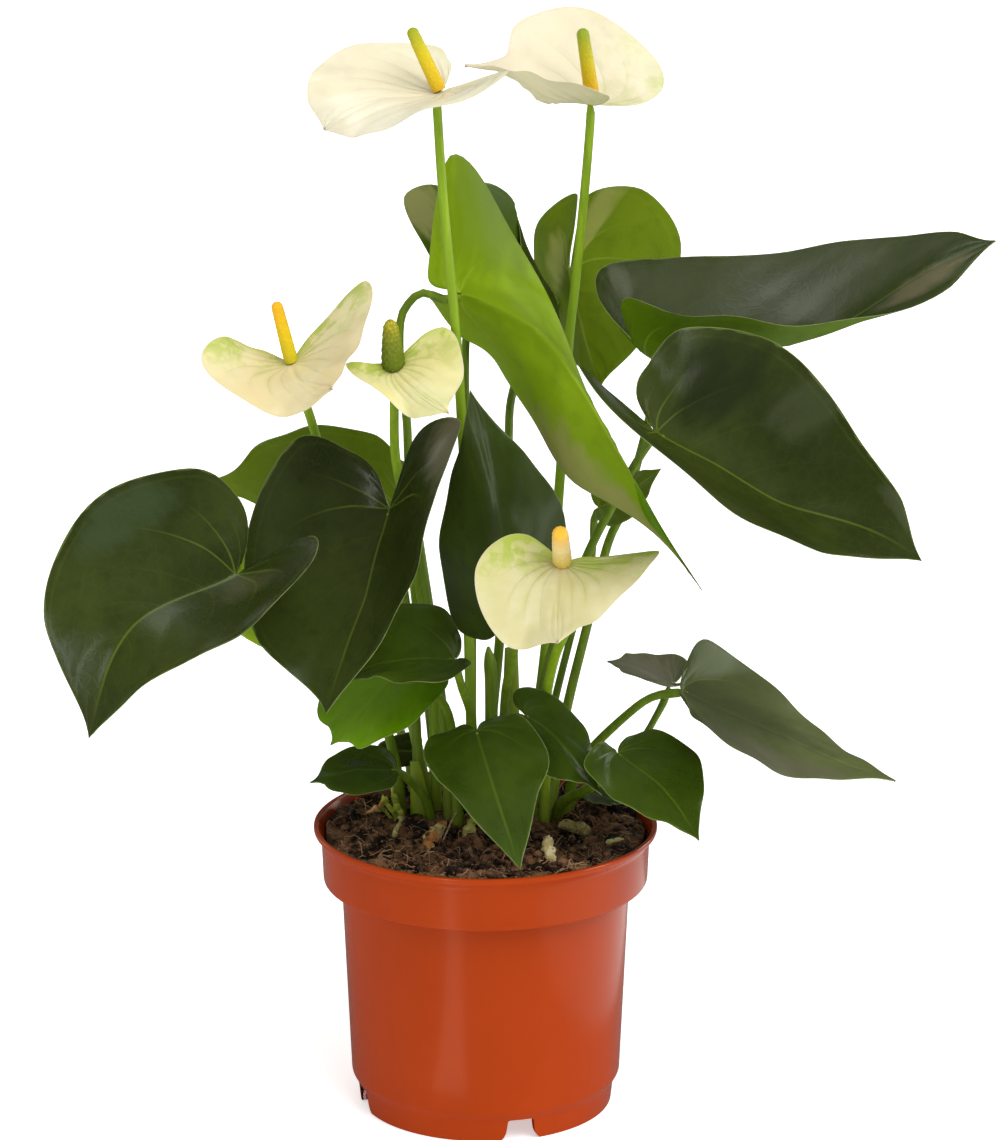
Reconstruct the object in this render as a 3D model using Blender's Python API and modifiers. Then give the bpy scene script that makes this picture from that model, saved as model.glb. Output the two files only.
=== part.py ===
import math
import bpy
import bmesh
import numpy as np
from mathutils import Vector
from mathutils.bvhtree import BVHTree

# A white anthurium in its round plastic nursery pot.
# Lengths are in millimetres from the centre of the pot's foot: x to the right, y to the back, z up.
MM = 0.001

# Pot
POT_HEIGHT = 102.0
RIM_RADIUS = 60.0
BAND_RADIUS = 57.2
BAND_HEIGHT = 20.0
BODY_TOP_RADIUS = 50.4
BODY_LOW_RADIUS = 47.2
FOOT_RADIUS = 45.1
CHAMFER_HEIGHT = 11.4
FOOT_HEIGHT = 8.0
POT_WALL = 1.2
FOOT_RING_WIDTH = 2.2
FLOOR_THICKNESS = 1.6
POT_STEPS = 45
NOTCH_WIDTH = 9.4
NOTCH_FOOT_WIDTH = 14.4
NOTCH_HEIGHT = 10.0
NOTCH_ANGLES = (-74.0, 16.0, 106.0, 196.0)
DRAIN_RADIUS = 3.5
DRAIN_RING_RADIUS = 30.0
DRAIN_COUNT = 6

# Soil
SOIL_TOP = 95.0
CLEARANCE = 0.3
HOLE_ROOM = 0.55
FOOT_DEPTH = 11.0
HOLE_SIDES = 8

# Leaf and flower blades
BLADE_THICKNESS = 0.8
RIB_SINK = 0.7
QUILT_HEIGHT = 0.25
FAN_SHARE = 0.40
STEM_SIDES_RESOLUTION = 1
STEM_STEP = 20.0
FLORET = 0.12
SEAT_SEARCH = 8.0
SEAT_STEP = 0.05

# Half outlines of a flat leaf and a flat spathe of length 1: (along the midrib, sideways).
LEAF_OUTLINE = (
    (0, 0), (-.09, .035), (-.19, .09), (-.26, .17), (-.28, .26), (-.25, .36), (-.17, .45), (-.04, .505),
    (.09, .52), (.24, .505), (.42, .44), (.58, .34), (.74, .215), (.87, .10), (.94, .04), (1, 0),
)
SPATHE_OUTLINE = (
    (0, 0), (-.07, .06), (-.14, .13), (-.17, .22), (-.18, .33), (-.13, .44), (-.02, .51), (.13, .53),
    (.28, .515), (.44, .46), (.58, .38), (.72, .27), (.84, .16), (.93, .065), (.97, .03), (1, 0),
)
RIB_SPOTS = dict(base=(0, 0), rib2=(.25, 0), rib=(.5, 0), rib3=(.75, 0), tip=(1, 0))
LEAF_SPOTS = dict(
    Lobe=(-.28, .26), Back=(-.17, .45), Side=(.09, .52), Front=(.58, .34), Tip=(.8, .165), Mid=(.15, .30))
SPATHE_SPOTS = dict(Lobe=(-.17, .22), Back=(-.13, .44), Side=(.13, .53), Front=(.58, .38))

# Each leaf: where marks on its midrib (base, rib, tip) and on the left and right margins (Lobe, Back,
# Side, Front) are, the route of its petiole down from the blade, and where that enters the soil.
LEAVES = {
    "leaf_01": dict(
        base=(-85, -26, 200), rib=(-119, -44, 187), tip=(-134, -52, 150),
        lLobe=(-57, -39, 217), lBack=(-59, -54, 212), lSide=(-74, -64, 197), lFront=(-107, -66, 178),
        rLobe=(-87, -10, 226), rBack=(-101, -10, 233), rSide=(-129, -18, 227), rFront=(-149, -42, 189),
        stem=[(-86, -16, 197), (-83, -3, 191), (-72, 8, 180), (-52, 15, 160), (-38, 19, 138), (-32, 22, 118)],
        foot=(-30, 24)),
    "leaf_02": dict(
        base=(-33, -4, 217), rib=(-41, -24, 191), tip=(-54, -44, 156),
        lLobe=(-19, -14, 250), lBack=(-8, -26, 253), lSide=(-16, -42, 236), lFront=(-27, -46, 198),
        rLobe=(-48, 5, 236), rBack=(-64, 1, 241), rSide=(-79, -5, 218), rFront=(-77, -27, 176),
        stem=[(-32, 3, 209), (-30, 12, 195), (-27, 16, 171), (-25, 18, 145), (-24, 19, 120)],
        foot=(-24, 19.5)),
    "leaf_03": dict(
        base=(-30, 56, 198), rib=(-66, 50, 197), tip=(-104, 49, 213),
        lLobe=(-30, 44, 221), lBack=(-38, 36, 232), lSide=(-55, 32, 237), lFront=(-81, 38, 227),
        rLobe=(-25, 84, 207), rSide=(-54, 92, 212), rFront=(-81, 75, 209),
        stem=[(-29, 57, 190), (-26, 53, 176), (-23, 44, 152), (-19, 36, 122)],
        foot=(-17.5, 33.5)),
    "leaf_04": dict(
        base=(-54, 68, 142), rib=(-80, 58, 149), tip=(-114, 55, 162),
        lLobe=(-50, 59, 166), lSide=(-70, 60, 180), lFront=(-93, 51, 182),
        rLobe=(-47, 89, 147), rSide=(-71, 99, 153), rFront=(-94, 82, 162),
        stem=[(-50, 69, 138), (-40, 64, 131), (-32, 56, 121), (-27, 46, 108)],
        foot=(-25, 37)),
    "leaf_05": dict(
        base=(-8, -1, 292), rib2=(17, -8, 279), rib=(36, -11, 252), rib3=(54, -17, 224), tip=(74, -21, 193),
        lLobe=(-18, 14, 285), lBack=(-8, 20, 272), lSide=(4, 22, 262), lFront=(31, 0, 225),
        rLobe=(-19, 11, 302), rBack=(-12, 22, 335), rSide=(8, 36, 308), rFront=(41, 11, 241), rTip=(57, -10, 213),
        stem=[(-13, 3, 289), (-21, 5, 291), (-26, 7, 287), (-29, 7, 280), (-29, 8, 263), (-27, 9, 245),
              (-26, 10, 224), (-22, 12, 194), (-17, 14, 157), (-14, 15, 125)],
        foot=(-12.5, 15.5)),
    "leaf_06": dict(
        base=(-3, 63, 285), rib=(14, 64, 259), tip=(35, 58, 231),
        lLobe=(-17, 56, 317), lBack=(-28, 52, 314), lSide=(-22, 54, 297), lFront=(10, 60, 246),
        rLobe=(-1, 78, 313), rBack=(10, 89, 303), rMid=(24, 88, 270), rSide=(13, 78, 284),
        rFront=(29, 78, 251),
        stem=[(-5, 66, 278), (-7, 65, 258), (-7, 59, 233), (-6, 51, 205), (-5, 40, 172), (-5, 29, 133)],
        foot=(-5, 23.5)),
    "leaf_07": dict(
        base=(30, 84, 280), rib=(35, 88, 257), tip=(41, 84, 237),
        lLobe=(22, 94, 301), lBack=(17, 99, 295), lSide=(17, 104, 277), lFront=(27, 100, 249),
        rLobe=(44, 82, 309), rBack=(63, 84, 307), rSide=(69, 88, 290), rFront=(53, 87, 250),
        stem=[(29, 91, 273), (22, 94, 260), (14, 90, 246), (9, 82, 233), (8, 72, 217), (6, 52, 182),
              (5, 41, 157), (2, 33, 125)],
        foot=(1.5, 30)),
    "leaf_08": dict(
        base=(57, 11, 267), rib2=(86, 14, 269), rib=(120, 13, 277), rib3=(150, 11, 297), tip=(174, 10, 308),
        lLobe=(38, 39, 287), lBack=(49, 54, 291), lSide=(83, 62, 290), lFront=(138, 42, 302),
        lTip=(162, 23, 308),
        rLobe=(48, -2, 294), rBack=(66, -12, 292), rSide=(87, -18, 292), rFront=(134, -12, 287),
        rTip=(160, -4, 296),
        stem=[(58, 19, 260), (58, 31, 246), (55, 41, 228), (49, 45, 204), (43, 42, 191), (36, 35, 164),
              (28, 27, 132)],
        foot=(22.5, 25)),
    "leaf_09": dict(
        base=(58, -33, 252), rib2=(78, -38, 242), rib=(100, -43, 230), tip=(146, -57, 214),
        lLobe=(55, -20, 272), lBack=(66, -22, 285), lSide=(95, -24, 282), lFront=(127, -34, 248),
        lTip=(140, -46, 232),
        rLobe=(31, -50, 280), rBack=(39, -69, 273), rSide=(67, -82, 250), rFront=(108, -79, 225),
        stem=[(57, -26, 249), (56, -13, 243), (54, 0, 236), (50, 10, 226), (44, 14, 213), (37, 14, 199),
              (28, 15, 176), (21, 17, 150), (17, 18, 122)],
        foot=(16, 18.5)),
    "leaf_10": dict(
        base=(8, -38, 191), rib=(4, -41, 229), tip=(-5, -30, 266),
        lLobe=(-2, -27, 177), lBack=(-10, -22, 181), lSide=(-15, -21, 201), lFront=(-11, -24, 235),
        rLobe=(15, -35, 181), rBack=(21, -30, 188), rSide=(28, -23, 208), rFront=(16, -27, 240),
        stem=[(9, -30, 182), (10, -18, 172), (9, -6, 162), (7, 4, 148), (6, 9, 125)],
        foot=(5.5, 11.5)),
    "leaf_11": dict(
        base=(-11, -26, 170), rib=(-30, -28, 170), tip=(-50, -30, 163),
        lLobe=(-5, -38, 172), lBack=(-10, -46, 170), lSide=(-22, -50, 169), lFront=(-38, -43, 169),
        rLobe=(-9, -15, 176), rBack=(-14, -8, 182), rSide=(-27, -6, 184), rFront=(-41, -15, 178),
        stem=[(-10, -21, 165), (-8, -12, 155), (-5, -2, 142), (-4, 5, 125)],
        foot=(-3.5, 8)),
    "leaf_12": dict(
        base=(-27, -8, 163), rib=(-39, -18, 153), tip=(-53, -29, 140),
        lLobe=(-15, -14, 162), lBack=(-13, -22, 160), lSide=(-21, -34, 153), lFront=(-43, -38, 142),
        rLobe=(-32, 3, 170), rBack=(-43, 3, 167), rSide=(-54, 0, 157), rFront=(-57, -14, 144),
        stem=[(-23, -2, 158), (-18, 2, 150), (-13, 6, 140), (-11, 9, 125)],
        foot=(-9.5, 9.5)),
    "leaf_13": dict(
        base=(-32, 4, 120), rib=(-46, -2, 122), tip=(-61, -7, 119),
        lLobe=(-31, -4, 118), lBack=(-35, -9, 117), lSide=(-44, -14, 117), lFront=(-55, -12, 119),
        rLobe=(-33, 11, 124), rBack=(-40, 14, 126), rSide=(-49, 12, 125), rFront=(-57, 2, 122),
        stem=[(-29, 8, 117), (-25, 11, 112), (-21, 13, 106)],
        foot=(-19, 14)),
    "leaf_14": dict(
        base=(-24, 31, 118), rib=(-31, 34, 117), tip=(-40, 37, 114),
        lLobe=(-21, 34, 114), lSide=(-28, 38, 110), lFront=(-35, 40, 110),
        rLobe=(-23, 30, 124), rSide=(-31, 31, 124), rFront=(-38, 35, 119),
        stem=[(-21, 31, 115), (-15, 29, 108), (-13, 27, 102)],
        foot=(-12.5, 25.5)),
    "leaf_15": dict(
        base=(-3, -26, 144), rib=(4, -44, 126), tip=(12, -58, 105),
        lLobe=(6, -20, 148), lBack=(14, -22, 147), lSide=(21, -29, 138), lFront=(18, -42, 127),
        rLobe=(-12, -21, 143), rBack=(-19, -25, 141), rSide=(-21, -31, 137), rFront=(-10, -47, 127),
        stem=[(-2, -20, 140), (0, -10, 131), (3, -1, 118), (4, 4, 108)],
        foot=(4, 5.5)),
    "leaf_16": dict(
        base=(14, -10, 144.6), rib=(26, -20, 138), tip=(40, -32, 123),
        lLobe=(10, -2, 150), lBack=(16, -1, 152), lSide=(28, -4, 146), lFront=(37, -18, 134),
        rLobe=(5, -12, 143), rBack=(6, -18, 140), rSide=(16, -27, 132), rFront=(31, -33, 128),
        stem=[(12, -6, 138), (12, 2, 130), (12, 10, 116)],
        foot=(11.5, 12)),
    "leaf_17": dict(
        base=(46, -20, 134), rib=(61, -34, 126), tip=(73, -48, 112),
        lLobe=(51, -9, 137), lBack=(58, -6, 138), lSide=(70, -11, 134), lFront=(75, -30, 124),
        rLobe=(39, -24, 139), rBack=(34, -34, 135), rSide=(40, -43, 129), rFront=(57, -48, 120),
        stem=[(43, -18, 127), (38, -7, 118), (30, 7, 109), (26, 15, 103)],
        foot=(25, 18.5)),
    "leaf_18": dict(
        base=(69, 4, 149), rib=(105, -5, 135), tip=(142, -14, 122),
        lLobe=(71, 22, 155), lBack=(78, 31, 159), lSide=(97, 26, 147), lFront=(121, 6, 130),
        rLobe=(70, -14, 149), rBack=(73, -24, 147), rSide=(83, -36, 143), rFront=(109, -27, 127),
        stem=[(64, 7, 147), (58, 9, 145), (51, 12, 139), (38, 18, 124), (31, 22, 111)],
        foot=(29, 24.5)),
    "leaf_19": dict(
        base=(66, 49, 137), rib=(56, 45, 143), tip=(43, 41, 148),
        lLobe=(72, 60, 142), lSide=(61, 69, 142), lFront=(50, 57, 146),
        rLobe=(70, 40, 140), rSide=(60, 30, 144), rFront=(48, 33, 147),
        stem=[(64, 49, 132), (61, 48, 126), (55, 44, 117), (45, 38, 108), (34, 33, 102)],
        foot=(28, 31.5)),
    "leaf_20": dict(
        base=(40, 34, 207), rib=(51, 31, 214), tip=(61, 26, 223),
        lLobe=(37, 40, 211), lSide=(44, 41, 215), lFront=(54, 34, 220),
        rLobe=(39, 29, 204), rSide=(48, 24, 204), rFront=(56, 24, 213),
        stem=[(38, 37, 201), (37, 37, 184), (30, 35, 159), (22, 33, 125)],
        foot=(17, 31.5)),
    "leaf_21": dict(
        base=(37, 24, 105), rib=(42, 19, 105), tip=(48, 14, 104),
        lLobe=(40, 29, 106), lSide=(46, 26, 106), lFront=(49, 19, 105),
        rLobe=(34, 20, 106), rSide=(37, 14, 105), rFront=(44, 13, 104),
        stem=[(38, 26, 102)],
        foot=(38.5, 27)),
}
BIG_LEAVES = ("leaf_01", "leaf_02", "leaf_05", "leaf_08", "leaf_09")
SMALL_LEAVES = ("leaf_13", "leaf_14", "leaf_19", "leaf_20", "leaf_21")

# Each flower: marks on its spathe, the top and radius of its spadix, the route of its peduncle down from
# the spathe, and where that enters the soil.
FLOWERS = {
    1: dict(
        base=(-15, -1, 362), rib=(-37, -4, 360), tip=(-54, -7, 350),
        lLobe=(8, -11, 371), lBack=(-2, -22, 366), lSide=(-20, -28, 361), lFront=(-40, -25, 352),
        rLobe=(-13, 14, 371), rBack=(-19, 22, 373), rSide=(-38, 24, 374), rFront=(-58, 8, 367),
        spadix=(-25, 3, 383), spadix_radius=2.0,
        stem=[(-16, -2, 355), (-14, -8, 326), (-10, -9, 282), (-8, -6, 249), (-7, -3, 227), (-6, 4, 182),
              (-5, 11, 135)],
        foot=(-4.5, 14.5)),
    2: dict(
        base=(37, 32, 351), rib=(15, 35, 351), tip=(-7, 34, 363),
        lLobe=(41, 21, 355), lBack=(36, 11, 359), lSide=(21, 8, 365), lFront=(8, 20, 366),
        rLobe=(57, 42, 350), rBack=(60, 51, 361), rSide=(40, 58, 377), rFront=(12, 52, 373),
        spadix=(33, 27, 378), spadix_radius=2.0,
        stem=[(36, 31, 345), (34, 35, 317), (31, 39, 284), (29, 41, 264), (26, 36, 216), (21, 28, 156)],
        foot=(13.5, 24.5)),
    3: dict(
        base=(-66, -1, 268), rib=(-61, -25, 267), tip=(-51, -48, 271),
        lLobe=(-54, 4, 283), lBack=(-41, 4, 295), lSide=(-39, -11, 290), lFront=(-45, -33, 279),
        rLobe=(-80, 4, 272), rBack=(-89, 0, 277), rSide=(-96, -13, 272), rFront=(-72, -35, 259),
        spadix=(-71, -4, 290), spadix_radius=2.1,
        stem=[(-66, 3, 264), (-64, 8, 256), (-61, 11, 248), (-59, 14, 240), (-53, 18, 218), (-41, 23, 180),
              (-28, 26, 139)],
        foot=(-19.5, 27)),
    4: dict(
        base=(-31, -12, 269), rib=(-24, -29, 266), tip=(-12, -46, 262),
        lLobe=(-24, -10, 277), lBack=(-14, -11, 283), lSide=(-8, -20, 276), lFront=(-9, -34, 267),
        rLobe=(-38, -13, 271), rBack=(-47, -16, 271), rSide=(-39, -26, 267), rFront=(-24, -37, 258),
        spadix=(-32, -17, 287), spadix_radius=3.2,
        stem=[(-31, -10, 265), (-31, -5, 256), (-31, 3, 236), (-29, 10, 220), (-24, 16, 190), (-19, 20, 155),
              (-18, 20, 128)],
        foot=(-17.5, 20.5)),
    5: dict(
        base=(26, -50, 211), rib=(24, -74, 203), tip=(24, -95, 197),
        lLobe=(39, -46, 212), lBack=(57, -48, 215), lSide=(54, -62, 213), lFront=(38, -82, 202),
        rLobe=(18, -45, 217), rBack=(8, -50, 221), rSide=(-3, -60, 212), rFront=(7, -82, 192),
        spadix=(25, -65, 227), spadix_radius=2.6,
        stem=[(26, -46, 207), (28, -38, 196), (28, -26, 182), (24, -11, 166), (21, 3, 145), (21, 11, 118)],
        foot=(20.5, 12.5)),
}

# Cut petioles and young sheaths that stand among the stems: route from the top, radius there, foot.
STUBS = {
    "stub_1": dict(stem=[(1, 13, 162), (2, 17, 148), (2, 18, 120)], radius=1.9, foot=(2, 18.5)),
    "stub_2": dict(stem=[(9, 14, 161), (9, 17, 146), (9, 18, 120)], radius=2.2, foot=(8.5, 18.5)),
    "bract_1": dict(stem=[(-33, 20, 108), (-31, 19, 103), (-30, 19, 99)], radius=1.2, foot=(-30, 19)),
    "root_1": dict(stem=[(21, -18, 100), (21, -17, 98)], radius=2.2, foot=(21, -17)),
    "root_2": dict(stem=[(-19, -10, 102), (-17, -8, 99)], radius=2.6, foot=(-16, -7)),
    "root_3": dict(stem=[(-5, 2, 100), (-6, 1, 98)], radius=1.8, foot=(-6, 0)),
}
STEM_TOP_RADIUS = 1.35
STEM_FOOT_RADIUS = 1.9
FLOWER_TOP_RADIUS = 1.6
FLOWER_FOOT_RADIUS = 2.0

COLOURS = dict(
    pot=(0.53, 0.075, 0.02), soil=(0.035, 0.018, 0.010), leaf=(0.035, 0.10, 0.012), spathe=(0.85, 0.82, 0.55),
    spadix=(0.80, 0.55, 0.03), peduncle=(0.12, 0.26, 0.02), stub=(0.20, 0.30, 0.05), root=(0.25, 0.16, 0.06),
)
ROUGHNESS = dict(pot=0.35, soil=0.95, leaf=0.3, spathe=0.4, spadix=0.5, peduncle=0.4, stub=0.5, root=0.8)

for old in list(bpy.data.objects):
    bpy.data.objects.remove(old)

plant = bpy.data.collections.new("potted_anthurium")
cutters = bpy.data.collections.new("cutters")
soil_cutters = bpy.data.collections.new("soil_cutters")
pot_cutters = bpy.data.collections.new("pot_cutters")
bpy.context.scene.collection.children.link(plant)
bpy.context.scene.collection.children.link(cutters)
cutters.children.link(soil_cutters)
cutters.children.link(pot_cutters)


def material(name):
    found = bpy.data.materials.get(name)
    if found:
        return found
    made = bpy.data.materials.new(name)
    made.use_nodes = True
    shader = made.node_tree.nodes["Principled BSDF"]
    kind = name.split("_")[0]
    shader.inputs["Base Color"].default_value = (*COLOURS[kind], 1)
    shader.inputs["Roughness"].default_value = ROUGHNESS[kind]
    shader.inputs["Metallic"].default_value = 0
    return made


def add_object(name, data, collection=plant):
    made = bpy.data.objects.new(name, data)
    collection.objects.link(made)
    return made


def evaluated_mesh(source):
    bpy.context.view_layer.update()
    return bpy.data.meshes.new_from_object(source.evaluated_get(bpy.context.evaluated_depsgraph_get()))


def smooth_points(points, steps):
    """Points along a Catmull-Rom curve through the given ones, with some steps for each span."""
    knots = [np.array(point, float) for point in points]
    knots = [2 * knots[0] - knots[1]] + knots + [2 * knots[-1] - knots[-2]]
    out = []
    for a, b, c, d in zip(knots, knots[1:], knots[2:], knots[3:]):
        for step in range(steps):
            t = step / steps
            out.append(0.5 * (2 * b + (c - a) * t + (2 * a - 5 * b + 4 * c - d) * t ** 2
                              + (3 * b - a - 3 * c + d) * t ** 3))
    out.append(knots[-2])
    return out


def evenly(points, count):
    """The given polyline read at count + 1 even steps of its length."""
    line = np.array(points)
    lengths = np.concatenate([[0], np.cumsum(np.linalg.norm(np.diff(line, axis=0), axis=1))])
    wanted = np.linspace(0, lengths[-1], count + 1)
    return np.stack([np.interp(wanted, lengths, line[:, axis]) for axis in range(line.shape[1])], 1)


def spot_of(mark, side_spots):
    """Place of a named mark on the flat outline; l and r stand for the left and right side."""
    if mark in RIB_SPOTS:
        return RIB_SPOTS[mark]
    along, aside = side_spots[mark[1:]]
    return (along, aside if mark[0] == "l" else -aside)


def kernel(squared):
    return np.where(squared > 0, squared * np.log(np.maximum(squared, 1e-12)), 0)


def bent_surface(marks, side_spots):
    """A smooth map from the flat outline to space that takes each named mark to its place."""
    names = [name for name in marks if name in RIB_SPOTS or name[1:] in side_spots]
    flat = np.array([spot_of(name, side_spots) for name in names], float)
    space = np.array([marks[name] for name in names], float)
    count = len(names)
    linear = np.hstack([np.ones((count, 1)), flat])
    system = np.zeros((count + 3, count + 3))
    system[:count, :count] = kernel(((flat[:, None] - flat[None]) ** 2).sum(-1))
    system[:count, count:] = linear
    system[count:, :count] = linear.T
    weights = np.linalg.solve(system, np.vstack([space, np.zeros((3, 3))]))

    def place(along, aside):
        at = np.array([along, aside])
        bend = kernel(((flat - at) ** 2).sum(1))
        return bend @ weights[:count] + np.array([1, along, aside]) @ weights[count:]
    return place


def surface_normal(place, along=0.05, aside=0.0, step=0.01):
    """Unit normal of the upper face."""
    forward = place(along + step, aside) - place(along - step, aside)
    across = place(along, aside + step) - place(along, aside - step)
    normal = np.cross(forward, across)
    return normal / np.linalg.norm(normal)


def blade_mesh(name, place, outline, rows, columns):
    """A grid bent to its place. Its rows follow the side veins: they fan out from the blade's base, the
    first ones along the two sides of the notch there, and then start further and further along the midrib."""
    edge = evenly(smooth_points(outline, 6), rows)
    bm = bmesh.new()
    bmesh.ops.create_grid(bm, x_segments=rows - 1, y_segments=2 * columns, size=0.5)
    for vert in bm.verts:
        row = 1 + round((vert.co.x + 0.5) * (rows - 1))
        column = round(vert.co.y * 2 * columns)
        share = row / rows
        rib_at = max(0, (share - FAN_SHARE) / (1 - FAN_SHARE)) ** 1.1
        out = abs(column) / columns
        along = rib_at * (1 - out) + edge[row][0] * out
        aside = math.copysign(edge[row][1] * out, column)
        relief = 0
        if row < rows:
            relief = QUILT_HEIGHT * (-1) ** row * math.sin(math.pi * out)
        if column == 0:
            relief -= RIB_SINK * min(1, 4 * rib_at * (1 - rib_at))
        spot = place(along, aside) + relief * surface_normal(place, along, aside)
        vert.co = Vector(spot) * MM
    bmesh.ops.remove_doubles(bm, verts=bm.verts, dist=0.02 * MM)
    bmesh.ops.triangulate(bm, faces=bm.faces)
    data = bpy.data.meshes.new(name)
    bm.to_mesh(data)
    bm.free()
    return data


def add_blade(name, place, outline, rows, columns):
    blade = add_object(name, blade_mesh(name, place, outline, rows, columns))
    solid = blade.modifiers.new("thickness", "SOLIDIFY")
    solid.thickness = BLADE_THICKNESS * MM
    solid.offset = 0
    return blade


def add_tube(name, points, top_radius, foot_radius):
    """A round stem along the given points, thicker towards the last one."""
    curve = bpy.data.curves.new(name, "CURVE")
    curve.dimensions = "3D"
    curve.bevel_depth = MM
    curve.bevel_resolution = STEM_SIDES_RESOLUTION
    curve.use_fill_caps = True
    spline = curve.splines.new("POLY")
    spline.points.add(len(points) - 1)
    for index, point in enumerate(points):
        share = index / (len(points) - 1)
        spline.points[index].co = (*(Vector(point) * MM), 1)
        spline.points[index].radius = top_radius + (foot_radius - top_radius) * share
    drawn = add_object(name + "_curve", curve)
    data = evaluated_mesh(drawn)
    bpy.data.objects.remove(drawn)
    bm = bmesh.new()
    bm.from_mesh(data)
    bmesh.ops.remove_doubles(bm, verts=bm.verts, dist=0.02 * MM)
    bmesh.ops.recalc_face_normals(bm, faces=bm.faces)
    bm.to_mesh(data)
    bm.free()
    data.shade_smooth()
    data.name = name
    return add_object(name, data)


def stem_points(top, route, foot):
    """The stem's points: a smooth curve down to the soil, then straight down into it."""
    enters = (foot[0], foot[1], SOIL_TOP + 2)
    smooth = smooth_points([top, *route, enters], 6)
    length = sum(np.linalg.norm(b - a) for a, b in zip(smooth, smooth[1:]))
    points = list(evenly(smooth, max(3, round(length / STEM_STEP))))
    points.append(np.array([foot[0], foot[1], SOIL_TOP - FOOT_DEPTH]))
    return points


def add_hole(foot, radius):
    """A cutter for the plain round hole that a stem stands in."""
    low = SOIL_TOP - FOOT_DEPTH - CLEARANCE
    high = SOIL_TOP + 5
    bm = bmesh.new()
    bmesh.ops.create_cone(bm, cap_ends=True, segments=HOLE_SIDES, radius1=(radius + HOLE_ROOM) * MM,
                          radius2=(radius + HOLE_ROOM) * MM, depth=(high - low) * MM)
    data = bpy.data.meshes.new("hole")
    bm.to_mesh(data)
    bm.free()
    hole = add_object("hole", data, soil_cutters)
    hole.location = Vector((foot[0], foot[1], (low + high) / 2)) * MM
    hole.hide_render = True
    hole.display_type = "WIRE"


def fuse(name, pieces):
    """One solid from pieces that reach into each other."""
    group = bpy.data.collections.new(name + "_pieces")
    bpy.context.scene.collection.children.link(group)
    for piece in pieces[1:]:
        group.objects.link(piece)
    join = pieces[0].modifiers.new("join", "BOOLEAN")
    join.operation = "UNION"
    join.operand_type = "COLLECTION"
    join.collection = group
    join.solver = "MANIFOLD"
    data = evaluated_mesh(pieces[0])
    for piece in pieces:
        bpy.data.objects.remove(piece)
    bpy.data.collections.remove(group)
    data.name = name
    data.shade_smooth()
    data.set_sharp_from_angle(angle=math.radians(50))
    return add_object(name, data)


def add_leaf(name, marks):
    rows, columns = 12, 3
    if name in BIG_LEAVES:
        rows, columns = 14, 3
    if name in SMALL_LEAVES:
        rows, columns = 10, 2
    place = bent_surface(marks, LEAF_SPOTS)
    blade = add_blade(name + "_blade", place, LEAF_OUTLINE, rows, columns)
    points = stem_points(place(0.03, 0), marks["stem"], marks["foot"])
    petiole = add_tube(name + "_petiole", points, STEM_TOP_RADIUS, STEM_FOOT_RADIUS)
    leaf = fuse(name, [blade, petiole])
    leaf.data.materials.clear()
    leaf.data.materials.append(material(name))
    add_hole(marks["foot"], STEM_FOOT_RADIUS)


def seat(spathe, base, direction, profile):
    """Where a round shape that points at the spathe's base ends, just clear of the spathe. Its profile
    lists radii and how far each is from that end."""
    tree = BVHTree.FromObject(spathe, bpy.context.evaluated_depsgraph_get())
    along = Vector(direction)
    turn = Vector((0, 0, 1)).rotation_difference(along)
    spokes = [turn @ Vector((math.cos(angle), math.sin(angle), 0)) for angle in np.linspace(0, 6, 13)]
    reach = SEAT_SEARCH
    while reach > 0:
        end = Vector(base + direction * (reach - SEAT_STEP))
        spots = [end + spoke * radius + along * up for spoke in spokes for radius, up in profile]
        if min(tree.find_nearest(spot * MM)[3] for spot in spots) < CLEARANCE * MM:
            break
        reach -= SEAT_STEP
    return base + direction * reach


def spadix_radius(widest, height):
    """Radius of a spadix at a height from 0 to 1 of its length."""
    return widest * (1 - 0.28 * height) * min(1, math.sin(math.pi * height) * 2.2 + 0.001) ** 0.6


def add_flower(number, marks):
    name = "flower_%d" % number
    place = bent_surface(marks, SPATHE_SPOTS)
    base = place(0, 0)
    spathe = add_blade(name + "_spathe", place, SPATHE_OUTLINE, 12, 3)
    spathe.data.shade_smooth()
    spathe.data.materials.append(material("spathe_%d" % number))

    down = np.array(marks["stem"][0]) - base
    down = down / np.linalg.norm(down)
    top = seat(spathe, base, down, [(FLOWER_TOP_RADIUS, up) for up in (0, 1, 3, 6)])
    points = stem_points(top, marks["stem"][1:], marks["foot"])
    peduncle = add_tube(name + "_stalk", points, FLOWER_TOP_RADIUS, FLOWER_FOOT_RADIUS)
    peduncle.data.materials.append(material("peduncle_%d" % number))
    add_hole(marks["foot"], FLOWER_FOOT_RADIUS)

    up = np.array(marks["spadix"]) - base
    length = np.linalg.norm(up)
    widest = marks["spadix_radius"]
    profile = [(spadix_radius(widest, height) + FLORET, height * length) for height in (0, 0.1, 0.2, 0.3)]
    start = seat(spathe, base, up / length, profile)
    add_spadix(name + "_spadix", start, np.array(marks["spadix"]), widest, number)


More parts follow.
